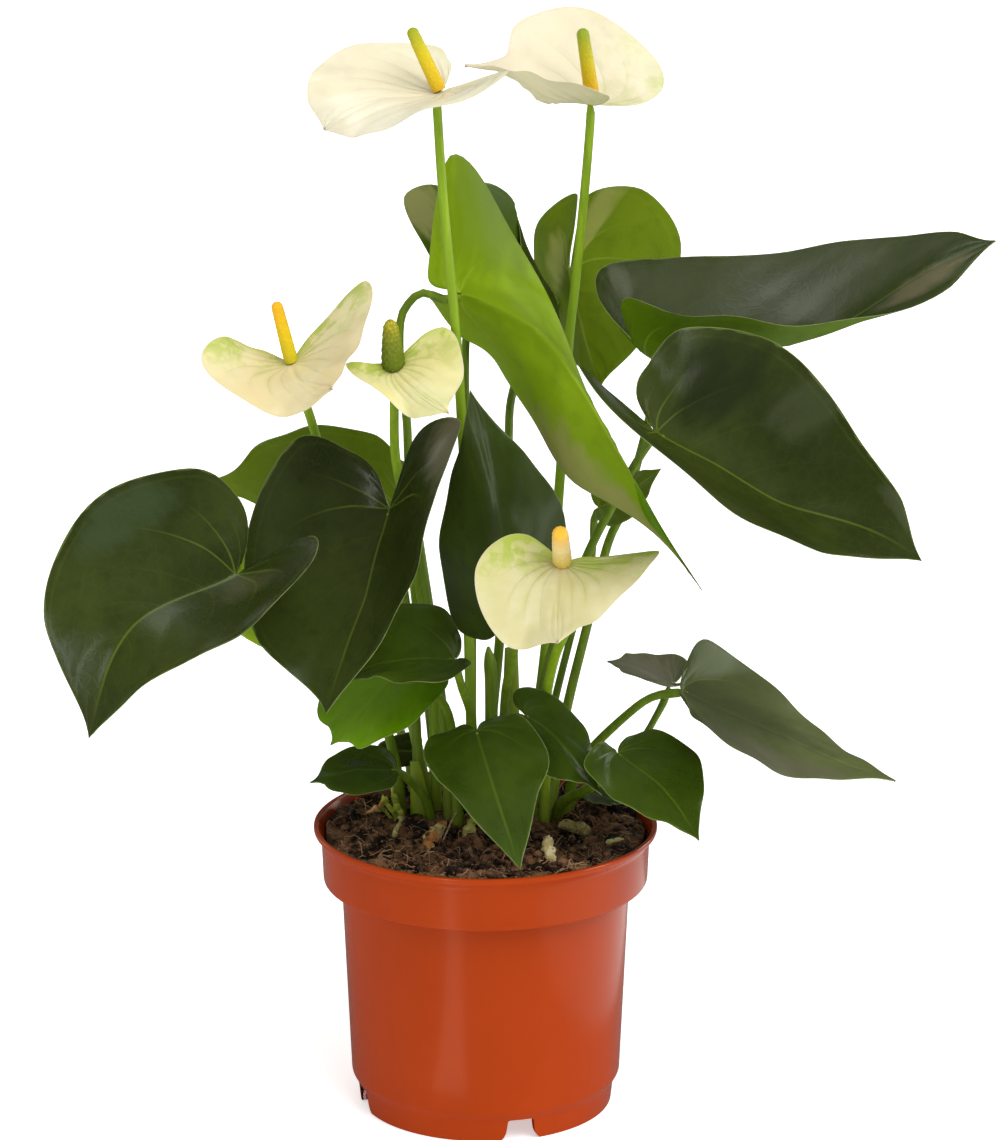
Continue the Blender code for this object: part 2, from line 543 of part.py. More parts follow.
def add_spadix(name, start, end, widest, number):
    """A tapered spike covered in small florets."""
    segments, rings = 10, 10
    axis = Vector(end - start)
    turn = Vector((0, 0, 1)).rotation_difference(axis)
    bm = bmesh.new()
    bmesh.ops.create_uvsphere(bm, u_segments=segments, v_segments=rings, radius=1)
    for vert in bm.verts:
        ring = round(math.acos(max(-1, min(1, vert.co.z))) / math.pi * rings)
        height = 1 - ring / rings
        angle = math.atan2(vert.co.y, vert.co.x)
        width = 0
        if 0 < ring < rings:
            bump = (-1) ** (ring + round(angle / (2 * math.pi) * segments))
            width = spadix_radius(widest, height) + FLORET * bump
        flat = Vector((math.cos(angle), math.sin(angle), 0)) * width
        vert.co = (Vector(start) + turn @ (flat + Vector((0, 0, height * axis.length)))) * MM
    data = bpy.data.meshes.new(name)
    bm.to_mesh(data)
    bm.free()
    data.shade_smooth()
    data.materials.append(material("spadix_%d" % number))
    add_object(name, data)


def add_stub(name, marks):
    route = marks["stem"]
    points = stem_points(np.array(route[0], float), route[1:], marks["foot"])
    stub = add_tube(name, points, marks["radius"], marks["radius"] + 0.3)
    stub.data.materials.append(material("root" if name.startswith("root") else "stub"))
    add_hole(marks["foot"], marks["radius"] + 0.3)


def turned(name, profile):
    """A solid turned from a profile of (radius, height) points, listed up the inside and down the outside."""
    data = bpy.data.meshes.new(name)
    verts = [Vector((radius, 0, height)) * MM for radius, height in profile]
    edges = [(index, index + 1) for index in range(len(profile) - 1)]
    data.from_pydata(verts, edges, [])
    body = add_object(name, data)
    screw = body.modifiers.new("turn", "SCREW")
    screw.steps = POT_STEPS
    screw.render_steps = POT_STEPS
    screw.use_merge_vertices = True
    screw.merge_threshold = 0.00002
    screw.use_smooth_shade = True
    return body


def add_pot():
    band_low = POT_HEIGHT - BAND_HEIGHT
    inner_band = BAND_RADIUS - POT_WALL
    inner_body = BODY_TOP_RADIUS - POT_WALL
    profile = [
        (0, FOOT_HEIGHT + FLOOR_THICKNESS),
        (BODY_LOW_RADIUS - POT_WALL - 2.5, FOOT_HEIGHT + FLOOR_THICKNESS),
        (BODY_LOW_RADIUS - POT_WALL, CHAMFER_HEIGHT),
        (inner_body, band_low + 0.2),
        (inner_band, band_low + 1.8),
        (inner_band, POT_HEIGHT - 1.2),
        (inner_band + 0.8, POT_HEIGHT),
        (RIM_RADIUS - 0.8, POT_HEIGHT),
        (RIM_RADIUS, POT_HEIGHT - 0.8),
        (RIM_RADIUS, POT_HEIGHT - 2.0),
        (RIM_RADIUS - 0.8, POT_HEIGHT - 2.6),
        (BAND_RADIUS, POT_HEIGHT - 2.8),
        (BAND_RADIUS - 0.4, band_low + 0.8),
        (BAND_RADIUS - 1.2, band_low),
        (BODY_TOP_RADIUS, band_low - 0.6),
        (BODY_LOW_RADIUS, CHAMFER_HEIGHT),
        (FOOT_RADIUS, FOOT_HEIGHT),
        (FOOT_RADIUS - 0.6, 0.6),
        (FOOT_RADIUS - 1.1, 0),
        (FOOT_RADIUS - 1.1 - FOOT_RING_WIDTH, 0),
        (FOOT_RADIUS - 1.1 - FOOT_RING_WIDTH, FOOT_HEIGHT),
        (0, FOOT_HEIGHT),
    ]
    pot = turned("pot", profile)
    pot.data.materials.append(material("pot"))
    for angle in NOTCH_ANGLES:
        add_notch(math.radians(angle))
    for index in range(DRAIN_COUNT):
        add_drain(2 * math.pi * (index + 0.5) / DRAIN_COUNT)
    cut = pot.modifiers.new("foot", "BOOLEAN")
    cut.operation = "DIFFERENCE"
    cut.operand_type = "COLLECTION"
    cut.collection = pot_cutters


def add_notch(angle):
    """A cutter for one of the arches in the foot ring."""
    half_top = NOTCH_WIDTH / 2
    half_foot = NOTCH_FOOT_WIDTH / 2
    side = [(half_foot, -2), (half_foot, 0), (half_top + 0.8, 3.0), (half_top, 5.0),
            (half_top, NOTCH_HEIGHT - 2.8), (half_top - 1.2, NOTCH_HEIGHT - 2.0)]
    outline = side + [(-across, height) for across, height in reversed(side)]
    near, far = FOOT_RADIUS - 8, FOOT_RADIUS + 8
    bm = bmesh.new()
    verts = [bm.verts.new(Vector((near, across, height)) * MM) for across, height in outline]
    face = bm.faces.new(verts)
    grown = bmesh.ops.extrude_face_region(bm, geom=[face])
    moved = [item for item in grown["geom"] if isinstance(item, bmesh.types.BMVert)]
    bmesh.ops.translate(bm, verts=moved, vec=Vector((far - near, 0, 0)) * MM)
    bmesh.ops.recalc_face_normals(bm, faces=bm.faces)
    data = bpy.data.meshes.new("notch")
    bm.to_mesh(data)
    bm.free()
    notch = add_object("notch", data, pot_cutters)
    notch.rotation_euler.z = angle
    notch.hide_render = True
    notch.display_type = "WIRE"


def add_drain(angle):
    """A cutter for one drain hole in the pot's floor."""
    bm = bmesh.new()
    bmesh.ops.create_cone(bm, cap_ends=True, segments=8, radius1=DRAIN_RADIUS * MM, radius2=DRAIN_RADIUS * MM,
                          depth=8 * MM)
    data = bpy.data.meshes.new("drain")
    bm.to_mesh(data)
    bm.free()
    drain = add_object("drain", data, pot_cutters)
    across = DRAIN_RING_RADIUS * math.cos(angle)
    back = DRAIN_RING_RADIUS * math.sin(angle)
    drain.location = Vector((across, back, FOOT_HEIGHT + FLOOR_THICKNESS / 2)) * MM
    drain.hide_render = True
    drain.display_type = "WIRE"


def add_soil():
    band_low = POT_HEIGHT - BAND_HEIGHT
    gap = CLEARANCE + 0.1
    inner_band = BAND_RADIUS - POT_WALL - gap
    inner_body = BODY_TOP_RADIUS - POT_WALL - gap
    inner_low = BODY_LOW_RADIUS - POT_WALL - gap
    profile = [
        (0, SOIL_TOP),
        (inner_band, SOIL_TOP),
        (inner_band, band_low + 2.4),
        (inner_body, band_low + 0.9),
        (inner_low, CHAMFER_HEIGHT + 0.2),
        (inner_low - 2.5, FOOT_HEIGHT + FLOOR_THICKNESS + gap),
        (0, FOOT_HEIGHT + FLOOR_THICKNESS + gap),
    ]
    soil = turned("soil", profile)
    soil.data.materials.append(material("soil"))
    cut = soil.modifiers.new("holes", "BOOLEAN")
    cut.operation = "DIFFERENCE"
    cut.operand_type = "COLLECTION"
    cut.collection = soil_cutters


def centre_on_origin():
    """Moves the whole plant so that the origin is under the middle of its bounding box."""
    bpy.context.view_layer.update()
    corners = []
    for piece in plant.objects:
        corners += [vert.co for vert in piece.data.vertices if piece.name not in ("pot", "soil")]
    middle = [(max(c[i] for c in corners) + min(c[i] for c in corners)) / 2 for i in range(2)]
    anchor = bpy.data.objects.new("plant_origin", None)
    bpy.context.scene.collection.objects.link(anchor)
    for piece in [*plant.objects, *cutters.all_objects]:
        piece.parent = anchor
    anchor.location = (-middle[0], -middle[1], 0)


for leaf_name, leaf_marks in LEAVES.items():
    add_leaf(leaf_name, leaf_marks)
for flower_number, flower_marks in FLOWERS.items():
    add_flower(flower_number, flower_marks)
for stub_name, stub_marks in STUBS.items():
    add_stub(stub_name, stub_marks)
add_soil()
add_pot()
centre_on_origin()
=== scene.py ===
import math
import random
import bmesh
import bpy
import numpy as np
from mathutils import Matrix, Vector, noise


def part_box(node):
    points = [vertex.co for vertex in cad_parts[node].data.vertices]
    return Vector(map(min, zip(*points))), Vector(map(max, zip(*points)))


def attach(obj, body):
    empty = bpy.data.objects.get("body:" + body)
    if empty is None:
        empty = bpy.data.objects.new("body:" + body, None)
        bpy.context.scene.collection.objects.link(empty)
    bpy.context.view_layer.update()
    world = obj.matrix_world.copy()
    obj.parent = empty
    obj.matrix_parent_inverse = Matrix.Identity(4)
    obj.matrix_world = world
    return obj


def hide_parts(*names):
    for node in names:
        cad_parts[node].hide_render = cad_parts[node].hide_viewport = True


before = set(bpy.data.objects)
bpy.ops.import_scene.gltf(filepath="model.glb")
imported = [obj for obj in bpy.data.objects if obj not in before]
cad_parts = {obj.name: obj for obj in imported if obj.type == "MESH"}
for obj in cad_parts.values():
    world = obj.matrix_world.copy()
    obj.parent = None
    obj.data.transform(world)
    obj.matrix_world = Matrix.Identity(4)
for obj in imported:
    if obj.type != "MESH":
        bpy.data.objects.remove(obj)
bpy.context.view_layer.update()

# Lengths are in millimetres from the middle of the pot's foot: x to the right, y to the back, z up.
mm = 0.001
potLow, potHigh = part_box("pot")
potMiddle = np.array([(potLow.x + potHigh.x) / 2, (potLow.y + potHigh.y) / 2, 0]) / mm


# Shader sums written as plain expressions

def arithmetic(operation, swapped=False):
    def method(self, other):
        return self.sums(operation, other, self) if swapped else self.sums(operation, self, other)
    return method


class Wire:  # one socket of a material that can be added, scaled and compared like a number
    def __init__(self, look, socket):
        self.look = look
        self.socket = socket

    def sums(self, operation, *values):
        return self.look.node("ShaderNodeMath", {"operation": operation}, dict(enumerate(values)))

    __add__ = arithmetic("ADD")
    __radd__ = arithmetic("ADD", True)
    __sub__ = arithmetic("SUBTRACT")
    __rsub__ = arithmetic("SUBTRACT", True)
    __mul__ = arithmetic("MULTIPLY")
    __rmul__ = arithmetic("MULTIPLY", True)
    __truediv__ = arithmetic("DIVIDE")
    __pow__ = arithmetic("POWER")
    larger = arithmetic("MAXIMUM")
    smaller = arithmetic("MINIMUM")

    def __abs__(self):
        return self.sums("ABSOLUTE", self)

    def round(self):
        return self.sums("ROUND", self)

    def fade(self, low, high):  # 0 at low, 1 at high, smooth between
        return self.look.node("ShaderNodeMapRange", {"interpolation_type": "SMOOTHSTEP"},
                              {"Value": self, "From Min": low, "From Max": high})


class Look:  # one material under way
    def __init__(self, name):
        self.material = bpy.data.materials.new(name)
        self.material.use_nodes = True
        self.tree = self.material.node_tree
        self.tree.nodes.clear()

    def node(self, kind, settings=None, sockets=None, out=0):
        made = self.tree.nodes.new(kind)
        for setting, value in (settings or {}).items():
            if setting == "stops":
                elements = made.color_ramp.elements
                while len(elements) < len(value):
                    elements.new(0.5)
                for element, (at, colour) in zip(elements, value):
                    element.position = at
                    element.color = (*colour, 1)
            else:
                setattr(made, setting, value)
        for socket, value in (sockets or {}).items():
            self.feed(made.inputs[socket], value)
        return Wire(self, made.outputs[out])

    def feed(self, socket, value):
        if isinstance(value, Wire):
            self.tree.links.new(value.socket, socket)
        elif isinstance(value, tuple) and len(value) == 3 and socket.type == "RGBA":
            socket.default_value = (*value, 1)
        else:
            socket.default_value = value

    def blend(self, factor, first, second):
        return self.node("ShaderNodeMix", {"data_type": "RGBA"}, {0: factor, 6: first, 7: second}, 2)

    def place(self):
        return self.node("ShaderNodeTexCoord", out="Object")

    def stretched(self, vector, scale):
        return self.node("ShaderNodeMapping", {}, {"Vector": vector, "Scale": scale})

    def clouds(self, scale, detail=3.0, vector=None, rough=0.5):
        return self.node("ShaderNodeTexNoise", {}, {"Vector": vector or self.place(), "Scale": scale,
                                                    "Detail": detail, "Roughness": rough})

    def cells(self, scale, feature="F1"):
        return self.node("ShaderNodeTexVoronoi", {"feature": feature},
                         {"Vector": self.place(), "Scale": scale}, "Distance")

    def split(self, vector):
        made = self.node("ShaderNodeSeparateXYZ", {}, {0: vector}).socket.node
        return [Wire(self, output) for output in made.outputs]

    def grain(self):
        return self.node("ShaderNodeUVMap", {"uv_map": "grain"})

    def measure(self, name):
        return self.node("ShaderNodeAttribute", {"attribute_name": name}, out="Fac")

    def veinGrid(self):
        # u runs along the blade, w across it from -1 to 1 and v is w's size
        # then come the half width in mm, the distance to the nearest side vein and that vein's row
        u, aside = self.split(self.grain())[:2]
        w = aside * 2 - 1
        v = abs(w)
        phase = (u - blade["veinBend"] * v ** blade["veinArch"]) * blade["veins"]
        row = phase.round()
        off = abs(phase - row) * self.measure("alongMm") / blade["veins"]
        return u, w, v, self.measure("acrossMm"), off, row

    def bump(self, height, strength, distance):
        return self.node("ShaderNodeBump", {}, {"Height": height, "Strength": strength, "Distance": distance})

    def done(self, colour, rough, normal=None, **uniform):
        sockets = {"Base Color": colour, "Roughness": rough}
        if normal:
            sockets["Normal"] = normal
        for name, value in uniform.items():
            sockets[name.replace("_", " ")] = value
        shader = self.node("ShaderNodeBsdfPrincipled", {}, sockets)
        end = self.tree.nodes.new("ShaderNodeOutputMaterial")
        self.feed(end.inputs["Surface"], shader)
        return self.material


# Curves, bent sheets and meshes

def smoothPoints(points, steps):
    knots = [np.array(point, float) for point in points]
    knots = [2 * knots[0] - knots[1]] + knots + [2 * knots[-1] - knots[-2]]
    out = []
    for a, b, c, d in zip(knots, knots[1:], knots[2:], knots[3:]):
        for step in range(steps):
            t = step / steps
            out.append(0.5 * (2 * b + (c - a) * t + (2 * a - 5 * b + 4 * c - d) * t ** 2
                              + (3 * b - a - 3 * c + d) * t ** 3))
    out.append(knots[-2])
    return np.array(out)


def lengthsAlong(line):
    return np.concatenate([[0], np.cumsum(np.linalg.norm(np.diff(line, axis=0), axis=1))])


def evenly(line, count):
    lengths = lengthsAlong(line)
    wanted = np.linspace(0, lengths[-1], count + 1)
    return np.stack([np.interp(wanted, lengths, line[:, axis]) for axis in range(line.shape[1])], 1)


def ramp(value, start, end):  # 0 at start, 1 at end, straight between
    return np.clip((value - start) / (end - start), 0, 1)


def ridge(off, width):
    return np.exp(-(off / width) ** 2)


def around(radius, sides):
    angles = [2 * math.pi * turn / sides for turn in range(sides)]
    return [(radius * math.cos(angle), radius * math.sin(angle)) for angle in angles]


def ringFaces(rings, sides, first=0):  # the walls between rings of points, one ring after another
    faces = []
    for ring in range(rings - 1):
        for turn in range(sides):
            a = first + ring * sides + turn
            b = first + ring * sides + (turn + 1) % sides
            faces.append((a, b, b + sides, a + sides))
    return faces


def tubeFaces(rings, sides):  # the walls and both ends
    last = (rings - 1) * sides
    return ringFaces(rings, sides) + [tuple(range(sides))[::-1], tuple(range(last, last + sides))]


def unit(vectors):
    return vectors / np.maximum(np.linalg.norm(vectors, axis=-1, keepdims=True), 1e-9)


def kernel(squared):
    return np.where(squared > 0, squared * np.log(np.maximum(squared, 1e-12)), 0)


def bentSheet(marks, ribSpots, sideSpots):  # a smooth map from the flat outline to the marked places
    flat, space = [], []
    for mark, spot in marks.items():
        if mark in ribSpots:
            flat.append(ribSpots[mark])
        elif mark[1:] in sideSpots:
            along, aside = sideSpots[mark[1:]]
            flat.append((along, aside if mark[0] == "l" else -aside))
        else:
            continue
        space.append(spot)
    flat, space = np.array(flat, float), np.array(space, float)
    count = len(flat)
    linear = np.hstack([np.ones((count, 1)), flat])
    system = np.zeros((count + 3, count + 3))
    system[:count, :count] = kernel(((flat[:, None] - flat[None]) ** 2).sum(-1))
    system[:count, count:] = linear
    system[count:, :count] = linear.T
    weights = np.linalg.solve(system, np.vstack([space, np.zeros((3, 3))]))

    def place(at):
        at = np.asarray(at, float)
        rows = at.reshape(-1, 2)
        bend = kernel(((rows[:, None] - flat[None]) ** 2).sum(-1))
        spots = bend @ weights[:count] + np.hstack([np.ones((len(rows), 1)), rows]) @ weights[count:]
        return spots.reshape(*at.shape[:-1], 3)
    return place


def addObject(name, data):
    made = bpy.data.objects.new(name, data)
    bpy.context.scene.collection.objects.link(made)
    return made


def addPiece(name, spots, faces, materials, slots=None, uvs=None, measures=None, sharp=60):
    data = bpy.data.meshes.new(name)
    data.from_pydata([tuple((np.asarray(spot) + potMiddle) * mm) for spot in spots], [], faces)
    for material in materials:
        data.materials.append(material)
    if slots is not None:
        data.polygons.foreach_set("material_index", np.array(slots, np.int32))
    if uvs is not None:
        layer = data.uv_layers.new(name="grain")
        corners = np.zeros(len(data.loops), np.int32)
        data.loops.foreach_get("vertex_index", corners)
        layer.data.foreach_set("uv", np.asarray(uvs, np.float32)[corners].ravel())
    for label, values in (measures or {}).items():
        data.attributes.new(label, "FLOAT", "POINT").data.foreach_set("value", np.asarray(values, np.float32))
    bm = bmesh.new()
    bm.from_mesh(data)
    bmesh.ops.remove_doubles(bm, verts=bm.verts, dist=0.004 * mm)
    bm.to_mesh(data)
    bm.free()
    data.shade_smooth()
    data.set_sharp_from_angle(angle=math.radians(sharp))
    return addObject(name, data)


def settle(piece, slotName, *nodes):
    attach(piece, "root")
    if nodes:
        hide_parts(*nodes)


class Shape:  # gathers several sheets and tubes into one mesh
    def __init__(self):
        self.spots, self.faces, self.slots, self.uvs = [], [], [], []
        self.along, self.across = [], []

    def add(self, spots, faces, slot, uvs, along=None, across=None):
        first = len(self.spots)
        self.spots += [tuple(spot) for spot in spots]
        self.faces += [tuple(first + corner for corner in face) for face in faces]
        self.slots += [slot] * len(faces)
        self.uvs += [tuple(uv) for uv in uvs]
        self.along += list(along) if along is not None else [1.0] * len(spots)
        self.across += list(across) if across is not None else [1.0] * len(spots)

    def tube(self, line, radii, slot, sides, squash=1.0):
        line = np.asarray(line, float)
        count = len(line)
        ways = unit(np.gradient(line, axis=0))
        side = unit(np.cross(ways[0], [0.3, 1.0, 0.1]))
        spots, uvs = [], []
        for index, (spot, way, radius) in enumerate(zip(line, ways, radii)):
            side = unit(side - way * (side @ way))
            other = np.cross(way, side) * squash
            for turn, (x, y) in enumerate(around(radius, sides)):
                spots.append(spot + side * x + other * y)
                uvs.append((index / (count - 1), turn / sides))
        self.add(spots, tubeFaces(count, sides), slot, uvs)

    def build(self, name, materials, sharp=60):
        return addPiece(name, self.spots, self.faces, materials, self.slots, self.uvs,
                        {"alongMm": self.along, "acrossMm": self.across}, sharp)


blade = dict(
    rows=60, columns=20, start=0.03, fanShare=0.40, thickness=0.5, veins=8, veinBend=0.20, veinArch=1.8,
    vein=0.16, veinWidth=1.1, underVein=0.25, swell=0.2, keel=0.45, keelWidth=0.9, fullLength=120.0,
    furrow=0.35, furrowWidth=1.6, wave=0.5, waves=5, phase=0.0,
    ribSpots=dict(base=(0, 0), rib2=(.25, 0), rib=(.5, 0), rib3=(.75, 0), tip=(1, 0)),
    leafOutline=(
        (0, 0), (-.09, .035), (-.19, .09), (-.26, .17), (-.28, .26), (-.25, .36), (-.17, .45),
        (-.04, .505), (.09, .52), (.24, .505), (.42, .44), (.58, .34), (.74, .215), (.87, .10),
        (.94, .04), (1, 0)),
    leafSpots=dict(
        Lobe=(-.28, .26), Back=(-.17, .45), Side=(.09, .52), Front=(.58, .34), Tip=(.8, .165),
        Mid=(.15, .30)),
    spatheOutline=(
        (0, 0), (-.07, .06), (-.14, .13), (-.17, .22), (-.18, .33), (-.13, .44), (-.02, .51), (.13, .53),
        (.28, .515), (.44, .46), (.58, .38), (.72, .27), (.84, .16), (.93, .065), (.97, .03), (1, 0)),
    spatheSpots=dict(Lobe=(-.17, .22), Back=(-.13, .44), Side=(.13, .53), Front=(.58, .38), Tip=(.84, .16)),
)


def addBlade(shape, place, outline, form):
    # Rows run like the side veins: they fan out from the base, then start further and further up the midrib.
    # Slots 0, 1 and 2 are the upper face, the lower face and the rim.
    form = {**blade, **form}
    rows, columns, fan = form["rows"], form["columns"], form["fanShare"]
    edge = smoothPoints(outline, 12)
    lengths = lengthsAlong(edge)
    lengths = lengths / lengths[-1]

    def flat(u, w):  # w runs from -1 on the right margin to 1 on the left
        ribAt = np.maximum(0, (u - fan) / (1 - fan)) ** 1.1
        v = np.abs(w)
        along = ribAt * (1 - v) + np.interp(u, lengths, edge[:, 0]) * v
        return np.stack([along, np.interp(u, lengths, edge[:, 1]) * w], -1)

    count, wide = rows + 1, 2 * columns + 1
    u, w = np.meshgrid(np.linspace(form["start"], 1, count), np.linspace(-1, 1, wide), indexing="ij")
    v = np.abs(w)
    at = flat(u, w)
    middle = place(at)
    step = 0.004
    forward = place(at + [step, 0]) - place(at - [step, 0])
    sideways = place(at + [0, step]) - place(at - [0, step])
    normal = unit(np.cross(forward, sideways))
    before, after = np.maximum(u - step, 0), np.minimum(u + step, 1)
    alongMm = np.linalg.norm(place(flat(after, w)) - place(flat(before, w)), axis=-1) / (after - before)
    acrossMm = np.linalg.norm(middle - place(flat(u, w * 0)), axis=-1) / np.maximum(v, 0.02)
    acrossMm = np.where(v < 0.03, np.roll(acrossMm, 1, axis=1), acrossMm)

    phase = (u - form["veinBend"] * v ** form["veinArch"]) * form["veins"]
    off = np.abs(phase - np.round(phase)) * alongMm / form["veins"]
    size = np.maximum(0.1, ramp(alongMm, 0, form["fullLength"]))
    vein = ridge(off, form["veinWidth"]) * ramp(v, 0.95, 0.55) * ramp(v, 0, 0.06) * size
    swell = np.abs(np.sin(math.pi * phase)) * ramp(v, 0, 0.15) * ramp(v, 1, 0.8) * (1 - u ** 6) * size
    keel = ridge(v * acrossMm, form["keelWidth"]) * ramp(u, 1, 0.45) * np.maximum(0.3, ramp(u, 0.3, 0.4))
    furrow = ridge(v * acrossMm, form["furrowWidth"]) * ramp(u, 1, 0.88)
    wave = np.sin(u * form["waves"] * 2 * math.pi + form["phase"] + w) * v ** 3 * ramp(u, 1, 0.8)
    relief = form["swell"] * swell - form["vein"] * vein - form["furrow"] * furrow + form["wave"] * wave
    half = form["thickness"] / 2
    skin = half * np.maximum(0.35, ramp(v, 1.03, 0.91))
    upper = middle + normal * (relief + skin)[..., None]
    under = middle + normal * (relief - skin - form["keel"] * keel - form["underVein"] * vein)[..., None]

    index = np.arange(count * wide).reshape(count, wide)
    quads = np.stack([index[:-1, :-1], index[1:, :-1], index[1:, 1:], index[:-1, 1:]], -1).reshape(-1, 4)
    uvs = np.stack([u, 0.5 + 0.5 * w], -1).reshape(-1, 2)
    along, across = alongMm.ravel(), acrossMm.ravel()
    upper, under = upper.reshape(-1, 3), under.reshape(-1, 3)
    shape.add(upper, quads.tolist(), 0, uvs, along, across)
    shape.add(under, quads[:, ::-1].tolist(), 1, uvs, along, across)

    border = [*index[:, 0][::-1], *index[0, 1:], *index[1:, -1]]
    inner = [*index[:, 1][::-1], *index[1, 1:-1], *index[0:, -2]][:len(border)]
    centre = (upper + under) / 2
    bulge = centre[border] + unit(centre[border] - centre[inner]) * half * 0.5
    n = len(border)
    faces = []
    for i in range(n - 1):
        faces.append((i + 1, i, n + i, n + i + 1))
        faces.append((n + i + 1, n + i, 2 * n + i, 2 * n + i + 1))
    rim = np.concatenate([upper[border], bulge, under[border]])
    shape.add(rim, faces, 2, np.concatenate([uvs[border]] * 3))


def stemLine(top, route, foot):
    line = smoothPoints([top, *route, (*foot, soil["top"] + stalk["collar"])], 10)
    line = evenly(line, max(8, int(lengthsAlong(line)[-1] / stalk["step"])))
    return np.vstack([line, [[*foot, soil["top"] - stalk["depth"]]]])


soil = dict(
    top=95.0, mound=2.6, rough=2.9, rimRise=2.2, rimGap=0.35, wallGap=0.4, rings=84, sides=220,
    lumps=1700, lumpInset=2.6, fibres=1000, fibreInset=3.5, seed=7)


# Leaves

stalk = dict(
    topRadius=1.35, footRadius=1.9, kneeAt=6.0, kneeWidth=4.5, kneeSwell=0.22,
    sheathHeight=26.0, sheathSwell=0.35, joinAt=0.03, smallShare=0.85, collar=2.0, depth=11.0, step=3.5)
smallLeaves = ("leaf_13", "leaf_14", "leaf_19", "leaf_20", "leaf_21")


def petiole(shape, place, marks, share):
    line = stemLine(place(np.array([stalk["joinAt"], 0.0])), marks["stem"], marks["foot"])
    run = lengthsAlong(line)
    radii = stalk["topRadius"] + (stalk["footRadius"] - stalk["topRadius"]) * run / run[-1]
    sheath = ramp(line[:, 2], soil["top"] + stalk["sheathHeight"], soil["top"])
    radii = radii * (1 + ridge(run - stalk["kneeAt"], stalk["kneeWidth"]) * stalk["kneeSwell"])
    radii = radii * (1 + stalk["sheathSwell"] * sheath ** 1.5) * np.clip(0.35 + run / 4.0, 0, 1)
    shape.tube(line, radii * share, 3, 12)


def leafFace(name, deep, fresh, vein, rough, gloss, side, sheens=()):
    # side is 1 for the upper face with sunk veins and -1 for the lower face with raised ones
    # each patch is painted into the colour as painted sheen (a lamp's highlight), painted shade, or a change
    # of the blade's own tone: its place and its reach, along and across, its colour and how far it covers
    look = Look(name)
    u, w, v, acrossMm, off, row = look.veinGrid()
    strong = row.fade(3.7, 3.2) * (row.fade(0.3, 2.0) * 0.7 + 0.3) * 0.85 + 0.10
    main = off.fade(0.62, 0.12) * v.fade(0.80, 0.25) * strong
    rib = (v * acrossMm).fade(0.7, 0.2) * u.fade(1.0, 0.8)
    collar = (abs(v - 0.93) * acrossMm).fade(0.7, 0.15) * u.fade(0.98, 0.9)
    net = look.cells(230, "DISTANCE_TO_EDGE").fade(0.12, 0.02)
    edge = ((1 - v) * acrossMm).fade(0.35, 0.05)
    broad = look.clouds(22, 4.0)
    colour = look.blend(broad.fade(0.36, 0.66), deep, fresh)
    colour = look.blend(look.clouds(160).fade(0.5, 0.75) * 0.35, colour, tuple(0.72 * part for part in deep))
    colour = look.blend(net * 0.03 + collar * 0.08, colour, vein)
    colour = look.blend(main * 0.6, colour, vein)
    colour = look.blend(rib * 0.55, colour, vein)
    if sheens:
        streaks = look.clouds(1, 3.0, look.stretched(look.grain(), (26, 5, 1)))
    # painted sheen and painted shade: each patch blends its colour over the blade, its edge frayed by streaks
    for along, across, reachAlong, reachAcross, tint, cover in sheens:
        away = ((u - along) / reachAlong) ** 2 + ((w - across) / reachAcross) ** 2
        colour = look.blend((away + (streaks - 0.5) * 1.6).fade(1.2, 0.1) * cover, colour, tint)
    colour = look.blend(edge * 0.4, colour, (0.16, 0.21, 0.05))
    roughness = rough + (broad - 0.5) * 0.25 + (look.clouds(900, 2.0) - 0.5) * 0.04
    height = (net * -0.1 + look.clouds(500, 2.0) * 0.2) * side + look.clouds(45, 2.0) * 3.0
    return look.done(colour, roughness, look.bump(height, 0.25, 0.0006), Specular_IOR_Level=gloss)


def rimLook(name, colour, second):
    look = Look(name)
    tint = look.blend(look.clouds(60, 3.0).fade(0.4, 0.65), colour, second)
    return look.done(tint, 0.5 + look.clouds(700) * 0.1)


def stemLook(name, green, pale, base):
    look = Look(name)
    share = look.split(look.grain())[0]
    streaks = look.clouds(1, 3.0, look.stretched(look.place(), (420, 420, 22)))
    colour = look.blend(streaks.fade(0.42, 0.68) * 0.65, green, pale)
    colour = look.blend(share.fade(0.8, 1.0) * 0.7, colour, base)
    colour = look.blend(look.cells(520).fade(0.16, 0.05) * 0.25, colour, pale)
    height = streaks + look.clouds(700, 2.0) * 0.5
    return look.done(colour, 0.38 + streaks * 0.15, look.bump(height, 0.3, 0.0004), Specular_IOR_Level=0.2)


